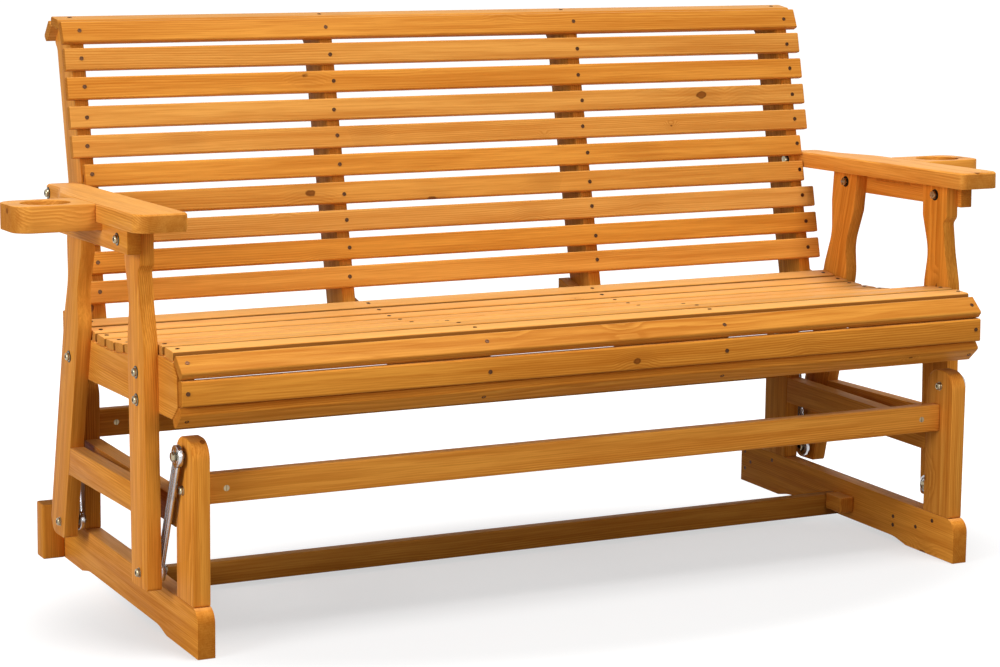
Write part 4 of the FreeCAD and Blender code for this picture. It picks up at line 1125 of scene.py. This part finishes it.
class GLIDER_OT_stage(bpy.types.Operator):
    """Set up the camera, the soft studio light and the pale floor"""
    bl_idname = "glider.stage"
    bl_label = "Stage"

    def execute(self, context):
        stage = context.scene.glider_stage
        self.camera(context, stage)
        self.lamps(context, stage)
        self.world(context, stage)
        self.floor(stage)
        context.scene.view_settings.view_transform = "Standard"
        return {"FINISHED"}

    def camera(self, context, stage):
        yaw, pitch, roll = (math.radians(angle) for angle in CAMERA_TURN)
        ahead = Vector((math.sin(yaw) * math.cos(pitch), math.cos(yaw) * math.cos(pitch),
                        -math.sin(pitch)))
        right = Vector((math.cos(yaw), -math.sin(yaw), 0.0))
        down = ahead.cross(right)
        across = right * math.cos(roll) + down * math.sin(roll)
        below = down * math.cos(roll) - right * math.sin(roll)
        turn = Matrix((across, -below, -ahead)).transposed().to_4x4()
        data = bpy.data.cameras.new("photo_camera")
        data.lens = stage.lens
        data.sensor_width = SENSOR_WIDTH
        data.shift_x, data.shift_y = CAMERA_SHIFT
        camera = bpy.data.objects.new("photo_camera", data)
        camera.matrix_world = Matrix.Translation(Vector(stage.camera_place)) @ turn
        context.scene.collection.objects.link(camera)
        context.scene.camera = camera

    def lamps(self, context, stage):
        for name, place, size, power in LAMPS:
            data = bpy.data.lights.new(name, "AREA")
            data.shape = "DISK"
            data.size = size
            data.energy = getattr(stage, power)
            lamp = bpy.data.objects.new(name, data)
            lamp.location = place
            lamp.rotation_euler = (AIM - Vector(place)).to_track_quat("-Z", "Y").to_euler()
            context.scene.collection.objects.link(lamp)

    def seen_directly(self, tree):
        """Camera, mirror and glass rays, which see plain white behind the bench."""
        path = add(tree, "ShaderNodeLightPath")
        seen = math_node(tree, "MAXIMUM", path.outputs["Is Camera Ray"],
                         path.outputs["Is Glossy Ray"])
        return math_node(tree, "MAXIMUM", seen, path.outputs["Is Transmission Ray"])

    def world(self, context, stage):
        world = bpy.data.worlds.new("soft_world")
        context.scene.world = world
        tree = clear_tree(world)
        even = add(tree, "ShaderNodeBackground")
        even.inputs["Strength"].default_value = stage.sky
        white = add(tree, "ShaderNodeBackground")
        for shader in (even, white):
            shader.inputs["Color"].default_value = (1.0, 1.0, 1.0, 1.0)
        end_tree(tree, mix_shader(tree, self.seen_directly(tree), even.outputs[0],
                                  white.outputs[0]), "ShaderNodeOutputWorld")

    def floor(self, stage):
        """A pale floor that fades into the white round the bench."""
        bpy.ops.object.select_all(action="DESELECT")
        bpy.ops.mesh.primitive_plane_add(
            size=60.0, location=(0.0, 0.0, CAD_BOX[0][2] - FLOOR_DROP))
        floor = bpy.context.object
        floor.name = "floor"
        material = bpy.data.materials.new("pale_floor")
        tree = clear_tree(material)
        diffuse = add(tree, "ShaderNodeBsdfDiffuse")
        feed(tree, tuple(stage.floor_colour), diffuse.inputs["Color"])
        # Painted light: the floor glows for camera, mirror and glass rays, weaker near the
        # bench so that its shadow shows, and plain white further out
        glow = add(tree, "ShaderNodeEmission")
        glow.inputs["Color"].default_value = (1.0, 1.0, 1.0, 1.0)
        coordinates = add(tree, "ShaderNodeTexCoord")
        reach = add(tree, "ShaderNodeMapping", vector_type="TEXTURE")
        feed(tree, coordinates.outputs["Object"], reach.inputs["Vector"])
        reach.inputs["Location"].default_value = FLOOR_MIDDLE
        reach.inputs["Scale"].default_value = FLOOR_REACH
        far = add(tree, "ShaderNodeVectorMath", operation="LENGTH")
        feed(tree, reach.outputs[0], far.inputs[0])
        feed(tree, smooth_step(tree, far.outputs["Value"], *FLOOR_FADE, *FLOOR_GLOW),
             glow.inputs["Strength"])
        both = add(tree, "ShaderNodeAddShader")
        feed(tree, diffuse.outputs[0], both.inputs[0])
        feed(tree, glow.outputs[0], both.inputs[1])
        end_tree(tree, mix_shader(tree, self.seen_directly(tree), diffuse.outputs[0],
                                  both.outputs[0]))
        floor.data.materials.append(material)


class GLIDER_PT_panel(bpy.types.Panel):
    """Shows the bench's settings and the buttons that build its pieces"""
    bl_idname = "GLIDER_PT_panel"
    bl_label = "Glider Bench"
    bl_space_type = "VIEW_3D"
    bl_region_type = "UI"
    bl_category = "Glider Bench"

    def draw(self, context):
        layout = self.layout
        for name, kind in SETTINGS:
            box = layout.box()
            for key in kind.__annotations__:
                box.prop(getattr(context.scene, name), key)
        for operator in OPERATORS:
            layout.operator(operator.bl_idname)


OPERATORS = (GLIDER_OT_base_boards, GLIDER_OT_glider_boards, GLIDER_OT_armrests,
             GLIDER_OT_slats, GLIDER_OT_swing_arms, GLIDER_OT_bolts, GLIDER_OT_screws,
             GLIDER_OT_stage)
SETTINGS = (("glider_wood", GliderWoodSettings), ("glider_metal", GliderMetalSettings),
            ("glider_stage", GliderStageSettings))


def register():
    for name, group in SETTINGS:
        bpy.utils.register_class(group)
        setattr(bpy.types.Scene, name, bpy.props.PointerProperty(type=group))
    for cls in OPERATORS + (GLIDER_PT_panel,):
        bpy.utils.register_class(cls)


def unregister():
    for cls in reversed(OPERATORS + (GLIDER_PT_panel,)):
        bpy.utils.unregister_class(cls)
    for name, group in reversed(SETTINGS):
        delattr(bpy.types.Scene, name)
        bpy.utils.unregister_class(group)


def main():
    register()
    bpy.ops.glider.base_boards()
    bpy.ops.glider.glider_boards()
    bpy.ops.glider.armrests()
    bpy.ops.glider.slats()
    bpy.ops.glider.swing_arms()
    bpy.ops.glider.bolts()
    bpy.ops.glider.screws()
    bpy.ops.glider.stage()


if __name__ == "__main__":
    main()
